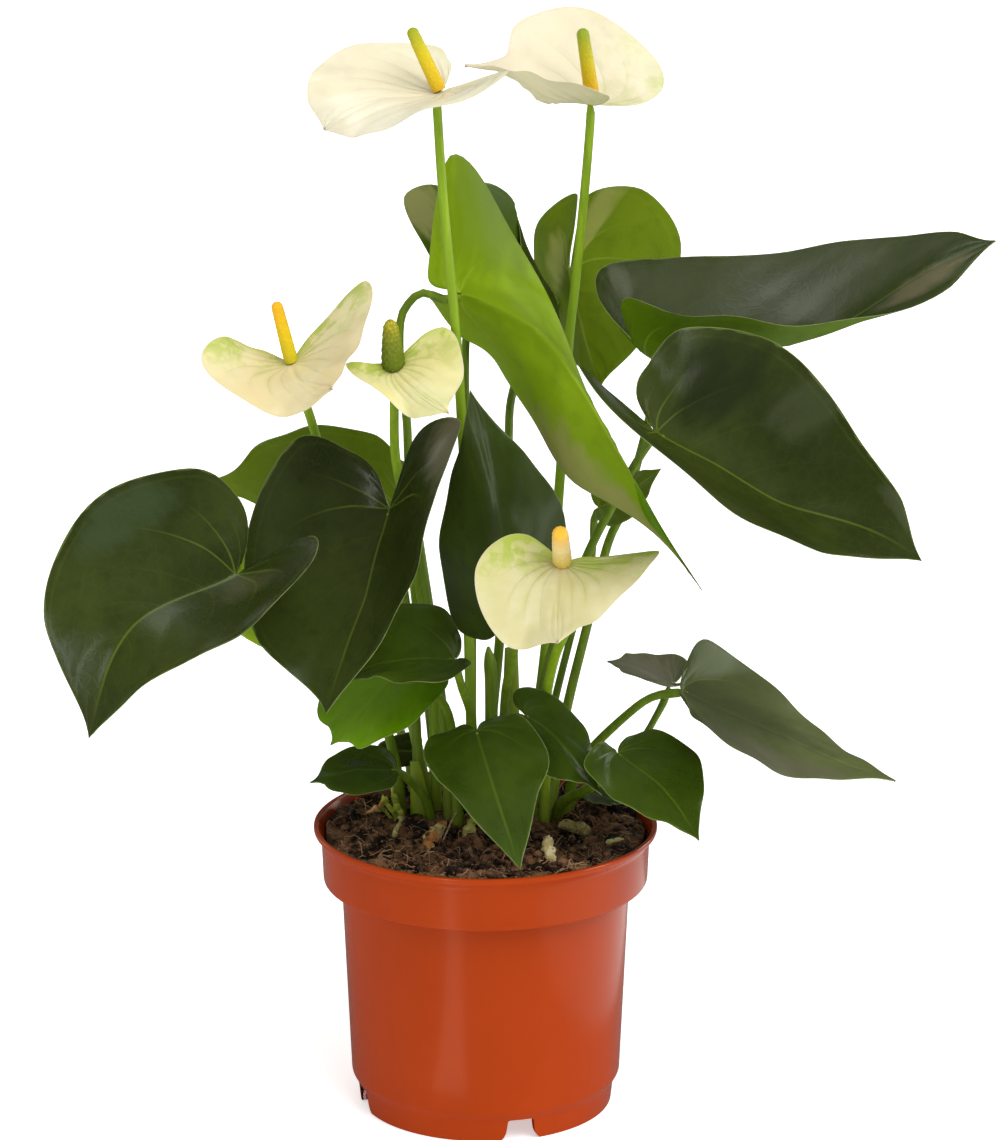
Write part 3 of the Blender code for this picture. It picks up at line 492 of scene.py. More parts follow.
# Each face: its ground, its fresher patches, its veins, roughness and gloss
darkUpper = ((0.021, 0.031, 0.0040), (0.036, 0.052, 0.0070), (0.11, 0.155, 0.014), 0.30, 0.20)
darkUnder = ((0.045, 0.085, 0.003), (0.065, 0.115, 0.004), (0.15, 0.22, 0.02), 0.42, 0.10)
leafLooks = dict(
    dark=dict(upper=darkUpper, under=darkUnder),
    deep=dict(upper=((0.016, 0.024, 0.0034), (0.028, 0.040, 0.0058), (0.09, 0.130, 0.012), 0.30, 0.20),
              under=darkUnder),
    folded=dict(upper=darkUpper,
                under=((0.055, 0.110, 0.0015), (0.085, 0.150, 0.0020), (0.17, 0.25, 0.02), 0.50, 0.04)),
    low=dict(upper=((0.029, 0.052, 0.0025), (0.050, 0.086, 0.0045), (0.082, 0.13, 0.009), 0.30, 0.20),
             under=darkUnder),
    plain=dict(upper=((0.021, 0.034, 0.0040), (0.036, 0.056, 0.0070), (0.034, 0.052, 0.007), 0.34, 0.20),
               under=((0.021, 0.034, 0.0040), (0.036, 0.056, 0.0070), (0.036, 0.056, 0.008), 0.42, 0.10)),
    middle=dict(upper=((0.090, 0.140, 0.004), (0.120, 0.180, 0.006), (0.20, 0.28, 0.02), 0.36, 0.12),
                under=((0.100, 0.155, 0.004), (0.130, 0.195, 0.006), (0.22, 0.30, 0.03), 0.46, 0.05)),
    fresh=dict(upper=((0.072, 0.170, 0.0004), (0.125, 0.265, 0.0006), (0.24, 0.38, 0.008), 0.36, 0.08),
               under=((0.160, 0.255, 0.004), (0.195, 0.310, 0.006), (0.28, 0.38, 0.03), 0.46, 0.05)),
    grey=dict(upper=((0.064, 0.080, 0.021), (0.092, 0.110, 0.031), (0.18, 0.22, 0.055), 0.42, 0.20),
              under=((0.080, 0.092, 0.034), (0.100, 0.115, 0.042), (0.19, 0.23, 0.07), 0.5, 0.10)),
)


def leafPair(name, lookName, sheens=()):
    faces = leafLooks[lookName]
    return [leafFace(name + "_upper", *faces["upper"], 1, sheens),
            leafFace(name + "_under", *faces["under"], -1, sheens)]


leafMaterials = {lookName: leafPair("leaf_" + lookName, lookName) for lookName in leafLooks}
leafRim = rimLook("leaf_rim", (0.22, 0.27, 0.08), (0.09, 0.12, 0.025))
petioleLook = stemLook("petiole", (0.105, 0.175, 0.005), (0.17, 0.26, 0.010), (0.25, 0.32, 0.03))
peduncleLook = stemLook("peduncle", (0.180, 0.295, 0.006), (0.26, 0.39, 0.012), (0.22, 0.31, 0.02))
print("leaf materials made")

leaves = {
    "leaf_01": dict(
        base=(-85, -26, 200), rib=(-119, -44, 187), tip=(-134, -52, 150),
        lLobe=(-57, -39, 217), lBack=(-59, -54, 212), lSide=(-74, -64, 197), lFront=(-107, -66, 178),
        rLobe=(-87, -10, 226), rBack=(-101, -10, 233), rSide=(-129, -18, 227), rFront=(-149, -42, 189),
        stem=[(-86, -16, 197), (-83, -3, 191), (-72, 8, 180), (-52, 15, 160), (-38, 19, 138), (-32, 22, 118)],
        foot=(-30, 24),
        # painted sheen: a brownish and a bluish-grey highlight on the blade
        sheens=[(.38, .30, .12, .3, (0.085, 0.085, 0.035), .45),
                (.47, -.8, .12, .2, (0.045, 0.068, 0.028), .5)]),
    "leaf_02": dict(
        base=(-33, -4, 217), rib=(-41, -24, 191), tip=(-54, -44, 156),
        lLobe=(-19, -14, 250), lBack=(-8, -26, 253), lSide=(-16, -42, 236), lFront=(-27, -46, 198),
        rLobe=(-48, 5, 236), rBack=(-64, 1, 241), rSide=(-79, -5, 218), rFront=(-77, -27, 176),
        stem=[(-32, 3, 209), (-30, 12, 195), (-27, 16, 171), (-25, 18, 145), (-24, 19, 120)],
        foot=(-24, 19.5),
        # painted sheen: a grey-brown highlight on one lobe
        look="deep", sheens=[(.35, .88, .12, .35, (0.13, 0.115, 0.07), .7)]),
    "leaf_03": dict(
        base=(-30, 56, 198), rib=(-66, 50, 197), tip=(-104, 49, 213),
        lLobe=(-30, 44, 221), lBack=(-38, 36, 232), lSide=(-55, 32, 237), lFront=(-81, 38, 227),
        rLobe=(-25, 84, 207), rSide=(-54, 92, 212), rFront=(-81, 75, 209),
        stem=[(-29, 57, 190), (-26, 53, 176), (-23, 44, 152), (-19, 36, 122)],
        foot=(-17.5, 33.5), look="middle",
        sheens=[(.5, .0, .7, 1.4, (0.060, 0.100, 0.006), .22)]),
    "leaf_04": dict(
        base=(-54, 68, 142), rib=(-80, 58, 149), tip=(-114, 55, 162),
        lLobe=(-50, 59, 166), lSide=(-70, 60, 180), lFront=(-93, 51, 182),
        rLobe=(-47, 89, 147), rSide=(-71, 99, 153), rFront=(-94, 82, 162),
        stem=[(-50, 69, 138), (-40, 64, 131), (-32, 56, 121), (-27, 46, 108)],
        foot=(-25, 37), look="fresh"),
    "leaf_05": dict(
        base=(-8, -1, 292), rib2=(17, 0, 279), rib=(36, 2, 252), rib3=(54, -6, 223), tip=(74, -21, 193),
        lLobe=(-18, 14, 285), lBack=(-8, 20, 272), lSide=(4, 22, 262), lFront=(31, 0, 225),
        rLobe=(-19, 11, 302), rBack=(-12, 22, 335), rSide=(8, 36, 308), rFront=(41, 11, 241),
        rTip=(57, -10, 213),
        stem=[(-13, 3, 289), (-21, 5, 291), (-26, 7, 287), (-29, 7, 280), (-29, 8, 263), (-27, 9, 245),
              (-26, 10, 224), (-22, 12, 194), (-17, 14, 157), (-14, 15, 125)],
        foot=(-12.5, 15.5), look="fresh",
        # painted shade: two darker greens over one half and the middle of the blade; painted sheen: an
        # olive-brown band along the margin and a brownish tip
        sheens=[(.38, -.75, .14, .7, (0.110, 0.180, 0.003), .85),
                (.53, -.05, .17, .34, (0.118, 0.192, 0.002), .8),
                (.74, .95, .20, .42, (0.265, 0.265, 0.080), .85),
                (.93, .6, .07, .7, (0.22, 0.19, 0.06), .6)]),
    "leaf_06": dict(
        base=(-3, 63, 285), rib=(14, 64, 259), tip=(35, 58, 231),
        lLobe=(-17, 56, 317), lBack=(-28, 52, 314), lSide=(-22, 54, 297), lFront=(10, 60, 246),
        rLobe=(-1, 78, 313), rBack=(10, 89, 303), rMid=(24, 88, 270), rSide=(13, 78, 284),
        rFront=(29, 78, 251),
        stem=[(-5, 66, 278), (-7, 65, 258), (-7, 59, 233), (-6, 51, 205), (-5, 40, 172), (-5, 29, 133)],
        foot=(-5, 23.5),
        # painted sheen: a pale olive band on the lobe
        sheens=[(.32, .85, .12, .36, (0.30, 0.29, 0.11), .75)]),
    "leaf_07": dict(
        base=(30, 84, 280), rib=(35, 88, 257), tip=(41, 84, 237),
        lLobe=(33, 94, 305), lBack=(25, 99, 301), lSide=(17, 104, 287), lFront=(27, 100, 249),
        rLobe=(37, 86, 307.4), rBack=(55, 84, 309.3), rSide=(69, 88, 290), rFront=(53, 87, 250),
        stem=[(29, 91, 273), (22, 94, 260), (14, 90, 246), (9, 82, 233), (8, 72, 217), (6, 52, 182),
              (5, 41, 157), (2, 33, 125)],
        foot=(1.5, 30), look="middle",
        # painted sheen: two pale olive bands on the blade
        sheens=[(.42, .45, .12, .3, (0.25, 0.28, 0.06), .75), (.26, -.6, .05, .6, (0.27, 0.29, 0.07), .75)]),
    "leaf_08": dict(
        base=(57, 11, 267), rib2=(86, 14, 269), rib=(120, 13, 277), rib3=(150, 11, 297), tip=(174, 10, 308),
        lLobe=(38, 39, 287), lBack=(49, 54, 291), lSide=(83, 62, 290), lFront=(138, 42, 302),
        lTip=(162, 23, 308),
        rLobe=(48.5, -2, 291.4), rBack=(60, -10, 288.2), rSide=(80, -15, 288), rFront=(126, -12, 286),
        rTip=(158, -4, 295),
        stem=[(58, 19, 260), (58, 31, 246), (55, 41, 228), (49, 45, 204), (43, 42, 191), (36, 35, 164),
              (28, 27, 132)],
        foot=(22.5, 25),
        look="folded",
        # painted sheen: a broad grey-olive glow, a brown-grey highlight near the tip and a grey one on the
        # lobe
        sheens=[(.55, .65, .42, .55, (0.058, 0.068, 0.036), .6), (.87, -.3, .10, .4, (0.13, 0.115, 0.06), .7),
                (.29, .8, .04, .2, (0.11, 0.12, 0.08), .5)]),
    "leaf_09": dict(
        base=(58, -33, 252), rib2=(78, -38, 242), rib=(100, -43, 230), tip=(146, -57, 214),
        lLobe=(55, -20, 272), lBack=(66, -22, 285), lSide=(95, -24, 282), lFront=(127, -34, 248),
        lTip=(140, -46, 232),
        rLobe=(31, -50, 280), rBack=(39, -69, 273), rSide=(67, -82, 250), rFront=(108, -79, 225),
        stem=[(57, -26, 249), (56, -13, 243), (54, 0, 236), (50, 10, 226), (44, 14, 213), (37, 14, 199),
              (28, 15, 176), (21, 17, 150), (17, 18, 122)],
        foot=(16, 18.5),
        # painted shade: a darker patch in the middle; painted sheen: two olive-grey highlights further out
        sheens=[(.43, .60, .10, .45, (0.013, 0.020, 0.003), .75),
                (.60, .78, .07, .30, (0.066, 0.080, 0.036), .45),
                (.88, .85, .06, .2, (0.08, 0.09, 0.05), .3)]),
    "leaf_10": dict(
        base=(8, -38, 191), rib=(4, -41, 229), tip=(-5, -30, 266),
        lLobe=(-2, -27, 177), lBack=(-10, -22, 181), lSide=(-15, -21, 201), lFront=(-11, -24, 235),
        rLobe=(15, -35, 181), rBack=(21, -30, 188), rSide=(28, -23, 208), rFront=(16, -27, 240),
        stem=[(9, -30, 182), (10, -18, 172), (9, -6, 162), (7, 4, 148), (6, 9, 125)],
        foot=(5.5, 11.5), look="plain"),
    "leaf_11": dict(
        base=(-11, -26, 170), rib=(-30, -28, 170), tip=(-50, -30, 163),
        lLobe=(-5, -38, 172), lBack=(-10, -46, 170), lSide=(-22, -50, 169), lFront=(-38, -43, 169),
        rLobe=(-9, -15, 176), rBack=(-14, -8, 182), rSide=(-27, -6, 184), rFront=(-41, -15, 178),
        stem=[(-10, -21, 165), (-8, -12, 155), (-5, -2, 142), (-4, 5, 125)],
        foot=(-3.5, 8), look="low"),
    "leaf_12": dict(
        base=(-27, -8, 163), rib=(-39, -18, 153), tip=(-53, -29, 140),
        lLobe=(-15, -14, 162), lBack=(-13, -22, 160), lSide=(-21, -34, 153), lFront=(-43, -38, 142),
        rLobe=(-32, 3, 170), rBack=(-43, 3, 167), rSide=(-54, 0, 157), rFront=(-57, -14, 144),
        stem=[(-23, -2, 158), (-18, 2, 150), (-13, 6, 140), (-11, 9, 125)],
        foot=(-9.5, 9.5), look="fresh",
        sheens=[(.6, .0, .5, 1.0, (0.155, 0.290, 0.003), .6)]),
    "leaf_13": dict(
        base=(-32, 4, 120), rib=(-46, -2, 122), tip=(-61, -7, 119),
        lLobe=(-31, -4, 118), lBack=(-35, -9, 117), lSide=(-44, -14, 117), lFront=(-55, -12, 119),
        rLobe=(-33, 11, 124), rBack=(-40, 14, 126), rSide=(-49, 12, 125), rFront=(-57, 2, 122),
        stem=[(-29, 8, 117), (-25, 11, 112), (-21, 13, 106)],
        foot=(-19, 14), look="low"),
    "leaf_14": dict(
        base=(-24, 31, 118), rib=(-31, 34, 117), tip=(-40, 37, 114),
        lLobe=(-21, 34, 114), lSide=(-28, 38, 110), lFront=(-35, 40, 110),
        rLobe=(-23, 30, 124), rSide=(-31, 31, 124), rFront=(-38, 35, 119),
        stem=[(-21, 31, 115), (-15, 29, 108), (-13, 27, 102)],
        foot=(-12.5, 25.5)),
    "leaf_15": dict(
        base=(-3, -26, 144), rib=(4, -44, 126), tip=(12, -58, 105),
        lLobe=(6, -20, 148), lBack=(14, -22, 147), lSide=(21, -29, 138), lFront=(18, -42, 127),
        rLobe=(-12, -21, 143), rBack=(-19, -25, 141), rSide=(-21, -31, 137), rFront=(-10, -47, 127),
        stem=[(-2, -20, 140), (0, -10, 131), (3, -1, 118), (4, 4, 108)],
        foot=(4, 5.5), look="low"),
    "leaf_16": dict(
        base=(14, -10, 144.6), rib=(26, -20, 138), tip=(40, -32, 123),
        lLobe=(10, -2, 150), lBack=(16, -1, 152), lSide=(28, -4, 146), lFront=(37, -18, 134),
        rLobe=(5, -12, 143), rBack=(6, -18, 140), rSide=(16, -27, 132), rFront=(31, -33, 128),
        stem=[(12, -6, 138), (12, 2, 130), (12, 10, 116)],
        foot=(11.5, 12), look="low",
        # painted highlight: a pale streak near the tip's edge
        sheens=[(.85, -.6, .06, .22, (0.26, 0.28, 0.20), .6)]),
    "leaf_17": dict(
        base=(46, -20, 134), rib=(61, -34, 126), tip=(73, -48, 112),
        lLobe=(51, -9, 137), lBack=(58, -6, 138), lSide=(70, -11, 134), lFront=(75, -30, 124),
        rLobe=(39, -24, 139), rBack=(34, -34, 135), rSide=(40, -43, 129), rFront=(57, -48, 120),
        stem=[(43, -18, 127), (38, -7, 118), (30, 7, 109), (26, 15, 103)],
        foot=(25, 18.5), look="low"),
    "leaf_18": dict(
        base=(69, 4, 149), rib=(105, -5, 135), tip=(142, -14, 122),
        lLobe=(71, 22, 155), lBack=(78, 31, 159), lSide=(97, 26, 147), lFront=(121, 6, 130),
        rLobe=(70, -14, 149), rBack=(73, -24, 147), rSide=(83, -36, 143), rFront=(109, -27, 127),
        stem=[(64, 7, 147), (58, 9, 145), (51, 12, 139), (38, 18, 124), (31, 22, 111)],
        foot=(29, 24.5), look="grey",
        # painted sheen: a grey-green highlight on the upper lobe and a brownish-grey band along the lower
        # margin; the third patch greens the middle
        sheens=[(.34, .72, .12, .46, (0.165, 0.195, 0.115), .65),
                (.62, -.80, .32, .34, (0.110, 0.105, 0.058), .6),
                (.58, .10, .30, .42, (0.048, 0.064, 0.017), .7)]),
    "leaf_19": dict(
        base=(66, 49, 137), rib=(56, 45, 143), tip=(43, 41, 148),
        lLobe=(72, 60, 142), lSide=(61, 69, 142), lFront=(50, 57, 146),
        rLobe=(70, 40, 140), rSide=(60, 30, 144), rFront=(48, 33, 147),
        stem=[(64, 49, 132), (61, 48, 126), (55, 44, 117), (45, 38, 108), (34, 33, 102)],
        # painted sheen: a brownish-grey glare over the whole blade
        foot=(28, 31.5), look="grey", sheens=[(.62, .0, .5, 1.2, (0.165, 0.150, 0.110), .65)]),
    "leaf_20": dict(
        base=(40, 34, 207), rib=(51, 31, 214), tip=(61, 26, 223),
        lLobe=(37, 40, 211), lSide=(44, 41, 215), lFront=(54, 34, 220),
        rLobe=(39, 29, 204), rSide=(48, 24, 204), rFront=(56, 24, 213),
        stem=[(38, 37, 201), (37, 37, 184), (30, 35, 159), (22, 33, 125)],
        foot=(17, 31.5), look="middle"),
    "leaf_21": dict(
        base=(37, 24, 105), rib=(42, 19, 105), tip=(48, 14, 104),
        lLobe=(40, 29, 106), lSide=(46, 26, 106), lFront=(49, 19, 105),
        rLobe=(34, 20, 106), rSide=(37, 14, 105), rFront=(44, 13, 104),
        stem=[(38, 26, 102)],
        foot=(38.5, 27)),
}
for number, (leafName, marks) in enumerate(leaves.items()):
    shape = Shape()
    place = bentSheet(marks, blade["ribSpots"], blade["leafSpots"])
    small = leafName in smallLeaves
    form = dict(phase=number * 1.7, wave=0.25 if small else 0.55)
    if small:
        form.update(rows=36, columns=12, swell=0.12, vein=0.1, keel=0.5)
    addBlade(shape, place, blade["leafOutline"], form)
    petiole(shape, place, marks, stalk["smallShare"] if small else 1)
    lookName = marks.get("look", "dark")
    pair = leafPair(leafName, lookName, marks["sheens"]) if "sheens" in marks else leafMaterials[lookName]
    settle(shape.build(leafName + "_grown", [*pair, leafRim, petioleLook]), "leaf", leafName)
print("leaves grown")


# Flowers

flowers = {
    1: dict(
        base=(-15, -1, 362), rib=(-37, -4, 360), tip=(-54, -7, 350), lTip=(-47.4, -17, 350.4),
        lLobe=(8, -11, 371), lBack=(-2, -22, 366), lSide=(-20, -28, 361), lFront=(-40, -25, 352),
        rTip=(-59.2, -1, 357.6),
        rLobe=(-13, 14, 371), rBack=(-19, 22, 373), rSide=(-38, 24, 374), rFront=(-58, 8, 367),
        spadix=(-25, 3, 383), spadixRadius=2.5, green=0.15, cream=((0.73, 0.67, 0.48), (0.79, 0.75, 0.59)),
        stem=[(-16, -2, 355), (-14, -8, 326), (-10, -9, 282), (-8, -6, 249), (-7, -3, 227), (-6, 4, 182),
              (-5, 11, 135)],
        foot=(-4.5, 14.5), colours=((0.76, 0.46, 0.010), (0.66, 0.52, 0.008), (0.27, 0.34, 0.015))),
    2: dict(
        base=(37, 32, 351), rib=(19, 34, 352), tip=(-7, 34, 364),
        lLobe=(42, 20, 356), lBack=(37, 12, 360), lSide=(25, 12, 363), lFront=(12, 20, 365),
        lTip=(1.7, 27, 365), rTip=(6, 40, 365.5),
        rLobe=(57, 42, 350), rBack=(60, 51, 361), rSide=(37, 58, 378), rFront=(9.5, 52, 373),
        spadix=(33, 27, 378), spadixRadius=2.6, green=0.32, cream=((0.70, 0.63, 0.46), (0.78, 0.72, 0.55)),
        stem=[(36, 31, 345), (34, 35, 317), (31, 39, 284), (29, 41, 264), (26, 36, 216), (21, 28, 156)],
        foot=(13.5, 24.5), colours=((0.80, 0.38, 0.010), (0.58, 0.47, 0.008), (0.22, 0.32, 0.015))),
    3: dict(
        base=(-66, -1, 268), rib=(-61, -25, 267), tip=(-51, -48, 271),
        lLobe=(-54, 4, 283), lBack=(-41, 4, 295), lSide=(-39, -11, 290), lFront=(-44, -32, 279.5),
        lTip=(-48, -41, 274.5), rTip=(-59.1, -42, 262.3),
        rLobe=(-80, 4, 272), rBack=(-89, 0, 277), rSide=(-96, -13, 272), rFront=(-72, -35, 259),
        spadix=(-71, -4, 290), spadixRadius=2.4, green=0.75, cream=((0.72, 0.61, 0.33), (0.77, 0.68, 0.42)),
        stem=[(-66, 3, 264), (-64, 8, 256), (-61, 11, 248), (-59, 14, 240), (-53, 18, 218), (-41, 23, 180),
              (-28, 26, 139)],
        foot=(-19.5, 27), colours=((0.66, 0.58, 0.02), (0.82, 0.56, 0.012), (0.84, 0.42, 0.012))),
    4: dict(
        base=(-31, -12, 269), rib=(-24, -29, 266), tip=(-12, -46, 262),
        lLobe=(-24, -10, 277), lBack=(-14, -11, 283), lSide=(-8, -20, 276), lFront=(-9, -34, 267),
        rLobe=(-38, -13, 271), rBack=(-47, -16, 271), rSide=(-39, -26, 267), rFront=(-24, -37, 258),
        spadix=(-32, -17, 287), spadixRadius=4.0, taper=0.5, knobs=0.32,
        green=1.1, cream=((0.72, 0.66, 0.28), (0.78, 0.73, 0.42)),
        stem=[(-31, -10, 265), (-31, -5, 256), (-31, 3, 236), (-29, 10, 220), (-24, 16, 190), (-19, 20, 155),
              (-18, 20, 128)],
        foot=(-17.5, 20.5), colours=((0.12, 0.19, 0.01), (0.19, 0.24, 0.012), (0.50, 0.42, 0.02))),
    5: dict(
        base=(26, -50, 211), rib=(24, -74, 203), tip=(24, -95, 197),
        lLobe=(39, -46, 212), lBack=(57, -48, 215), lSide=(54, -62, 213), lFront=(38, -82, 202),
        rLobe=(18, -45, 217), rBack=(8, -50, 221), rSide=(-3, -60, 212), rFront=(7, -82, 192),
        spadix=(25, -65, 227), spadixRadius=3.3, green=1.35, cream=((0.60, 0.55, 0.27), (0.69, 0.64, 0.41)),
        stem=[(26, -46, 207), (28, -38, 196), (28, -26, 182), (24, -11, 166), (21, 3, 145), (21, 11, 118)],
        foot=(20.5, 12.5), colours=((0.80, 0.58, 0.06), (0.86, 0.69, 0.34), (0.86, 0.46, 0.015))),
}


def spatheFace(name, cream, paler, green, side):
    look = Look(name)
    u, w, v, acrossMm, off, row = look.veinGrid()
    strong = row.fade(6.6, 5.2) * 0.8 + 0.2
    main = off.fade(0.6, 0.1) * v.fade(0.85, 0.3) * strong
    nearVein = off.fade(2.6, 0.2) * v.fade(0.90, 0.2) * strong
    patches = look.clouds(115, 4.0, rough=0.66).fade(0.42, 0.60)
    edge = ((1 - v) * acrossMm).fade(0.9, 0.1)
    cloud = look.clouds(38, 4.0)
    base = look.blend(cloud.fade(0.38, 0.66), cream, paler)
    if side < 0:
        base = look.blend(0.45, base, (0.52, 0.49, 0.25))
    sinus = u.fade(0.26, 0.06)
    lobes = u.fade(0.62, 0.22) * (v.fade(0.05, 0.5) * 0.6 + 0.4)
    tint = lobes * (patches * 0.75 + 0.15) + sinus * 0.5 + nearVein * patches * 0.35
    tint = (tint + cloud.fade(0.52, 0.72) * 0.3 + u.fade(0.44, 0.24) * v.fade(0.62, 1.0) * 0.5) * green
    colour = look.blend(tint.smaller(0.88), base, (0.37, 0.46, 0.05))
    shade = look.clouds(48, 3.0, rough=0.6).fade(0.52, 0.72) * 0.35 + nearVein * 0.16
    colour = look.blend(shade, colour, tuple(0.80 * part for part in cream))
    colour = look.blend(main * (0.07 + 0.20 * green), colour, (0.34, 0.37, 0.09))
    colour = look.blend(edge * 0.22, colour, (0.62, 0.50, 0.34))
    colour = look.blend(u.fade(0.985, 1.0) * 0.8, colour, (0.20, 0.10, 0.03))
    height = look.clouds(260, 3.0) * 0.8 + look.clouds(900, 2.0) * 0.3 - main * 0.8 * side
    return look.done(colour, 0.36 + (cloud - 0.5) * 0.2, look.bump(height, 0.3, 0.0005),
                     Specular_IOR_Level=0.4, Subsurface_Weight=0.12, Subsurface_Scale=0.0015,
                     Subsurface_Radius=(1.0, 0.8, 0.4))


def spadixLook(name, grain, low, middle, high):
    look = Look(name)
    share = look.split(look.grain())[0]
    along = look.node("ShaderNodeValToRGB", {"stops": ((0.0, high), (0.45, middle), (1.0, low))},
                      {"Fac": share + (look.clouds(300) - 0.5) * 0.10})
    cells = look.cells(900)
    colour = look.blend(cells.fade(0.25, 0.6) * grain, along, tuple(0.6 * part for part in middle))
    return look.done(colour, 0.5, look.bump(cells, 0.4, 0.0004), Specular_IOR_Level=0.22)


def addSpadix(name, start, end, widest, taper, knobs, colours):
    # Diamond rows of small florets on a tapered spike
    rings, sides, florets, floretHeight = 72, 36, 11, 1.5
    length = np.linalg.norm(end - start)
    way = (end - start) / length
    side = unit(np.cross(way, [0.2, 1.0, 0.1]))
    other = np.cross(way, side)
    rows = round(length / floretHeight)
    spots, uvs = [], []
    for ring in range(rings + 1):
        height = ring / rings
        dome = max(0, 1 - (1 - height) * length / (0.85 * widest))
        wide = widest * (1 - taper * height ** 1.5) * math.sqrt(max(0.001, 1 - dome ** 2.2))
        wide = wide * min(1, 0.86 + height * 1.5)
        for turn, (x, y) in enumerate(around(1, sides)):
            bump = math.cos(rows * math.pi * height) * math.cos(florets * 2 * math.pi * turn / sides)
            spots.append(start + way * length * height + (wide + knobs * bump) * (side * x + other * y))
            uvs.append((1 - height, turn / sides))
    shape = Shape()
    shape.add(spots, tubeFaces(rings + 1, sides), 0, uvs)
    return shape.build(name, [spadixLook(name, min(0.5, knobs * 1.5), *colours)], 80)


peduncle = dict(topRadius=1.55, footRadius=2.0, joinAt=0.02)
for number, marks in flowers.items():
    name = "flower_%d" % number
    place = bentSheet(marks, blade["ribSpots"], blade["spatheSpots"])
    shape = Shape()
    addBlade(shape, place, blade["spatheOutline"], dict(
        fanShare=0.78, thickness=0.6, swell=0.30, vein=0.34, keel=0.2, wave=0.5, waves=4, phase=number * 2.1))
    looks = [spatheFace(name + "_upper", *marks["cream"], marks["green"], 1),
             spatheFace(name + "_under", *marks["cream"], marks["green"] * 0.6, -1),
             rimLook(name + "_edge", (0.70, 0.63, 0.46), (0.60, 0.52, 0.34))]
    settle(shape.build(name + "_bract", looks), "spathe", name + "_spathe")

    base = place(np.array([0.0, 0.0]))
    line = stemLine(place(np.array([peduncle["joinAt"], 0.0])), marks["stem"], marks["foot"])
    run = lengthsAlong(line)
    radii = peduncle["topRadius"] + (peduncle["footRadius"] - peduncle["topRadius"]) * run / run[-1]
    stem = Shape()
    stem.tube(line, radii * np.clip(0.55 + run / 5.0, 0, 1), 0, 14)
    settle(stem.build(name + "_stem", [peduncleLook]), "peduncle", name + "_stalk")

    end = np.array(marks["spadix"], float)
    way = unit(end - base)
    spike = addSpadix(name + "_spike", base + way * 0.4, end, marks["spadixRadius"], marks.get("taper", 0.2),
                      marks.get("knobs", 0.09), marks["colours"])
    settle(spike, "spadix", name + "_spadix")
print("flowers made")


# Pot

pot = dict(
    height=102.0, rimRadius=60.0, bandRadius=57.2, bandHeight=20.0, bodyTopRadius=50.4, bodyLowRadius=47.2,
    footRadius=45.1, chamferHeight=11.4, footHeight=8.0, wall=1.2, ringWidth=2.2, floor=1.6, steps=180,
    notchWidth=9.4, notchFoot=14.4, notchHeight=10.0, notchCorner=1.0,
    notchAngles=(-74.0, 16.0, 106.0, 196.0),
    drainRadius=3.5, drainRing=30.0, drains=6)


def potLook():
    look = Look("pot_plastic")
    place = look.place()
    flow = look.clouds(1, 4.0, look.stretched(place, (60, 60, 9)))
    cloud = look.clouds(16, 3.0)
    colour = look.blend(cloud.fade(0.35, 0.65), (0.316, 0.0320, 0.0011), (0.348, 0.036, 0.0015))
    colour = look.blend(flow.fade(0.45, 0.7) * 0.25, colour, (0.307, 0.0315, 0.0014))
    dust = look.clouds(120, 5.0, rough=0.7).fade(0.60, 0.78)
    height = look.split(place)[2] / mm
    grime = (dust * height.fade(92, 101) * 0.5).larger(dust * height.fade(9, 2) * 0.4)
    colour = look.blend(grime, colour, (0.10, 0.045, 0.02))
    rough = 0.19 + cloud * 0.05 + grime * 0.3
    fine = look.clouds(1400, 2.0) * 0.25 + flow * 0.9
    return look.done(colour, rough, look.bump(fine, 0.16, 0.0003), Specular_IOR_Level=0.30,
                     Specular_Tint=(1.0, 0.72, 0.55, 1.0))


def turned(name, profile, steps, materials):
    count = len(profile)
    spots, faces = [], []
    for step, (x, y) in enumerate(around(1, steps)):
        a, b = step * count, (step + 1) % steps * count
        spots += [(radius * x, radius * y, height) for radius, height in profile]
        faces += [(a + i, b + i, b + i + 1, a + i + 1) for i in range(count - 1)]
    return addPiece(name, spots, faces, materials, sharp=38)


def rounded(corner, before, after, size):
    corner, before, after = (np.array(point, float) for point in (corner, before, after))
    first = corner + unit(before - corner) * size
    last = corner + unit(after - corner) * size
    shares = np.linspace(0, 1, 5)
    return [tuple((1 - t) ** 2 * first + 2 * t * (1 - t) * corner + t ** 2 * last) for t in shares]


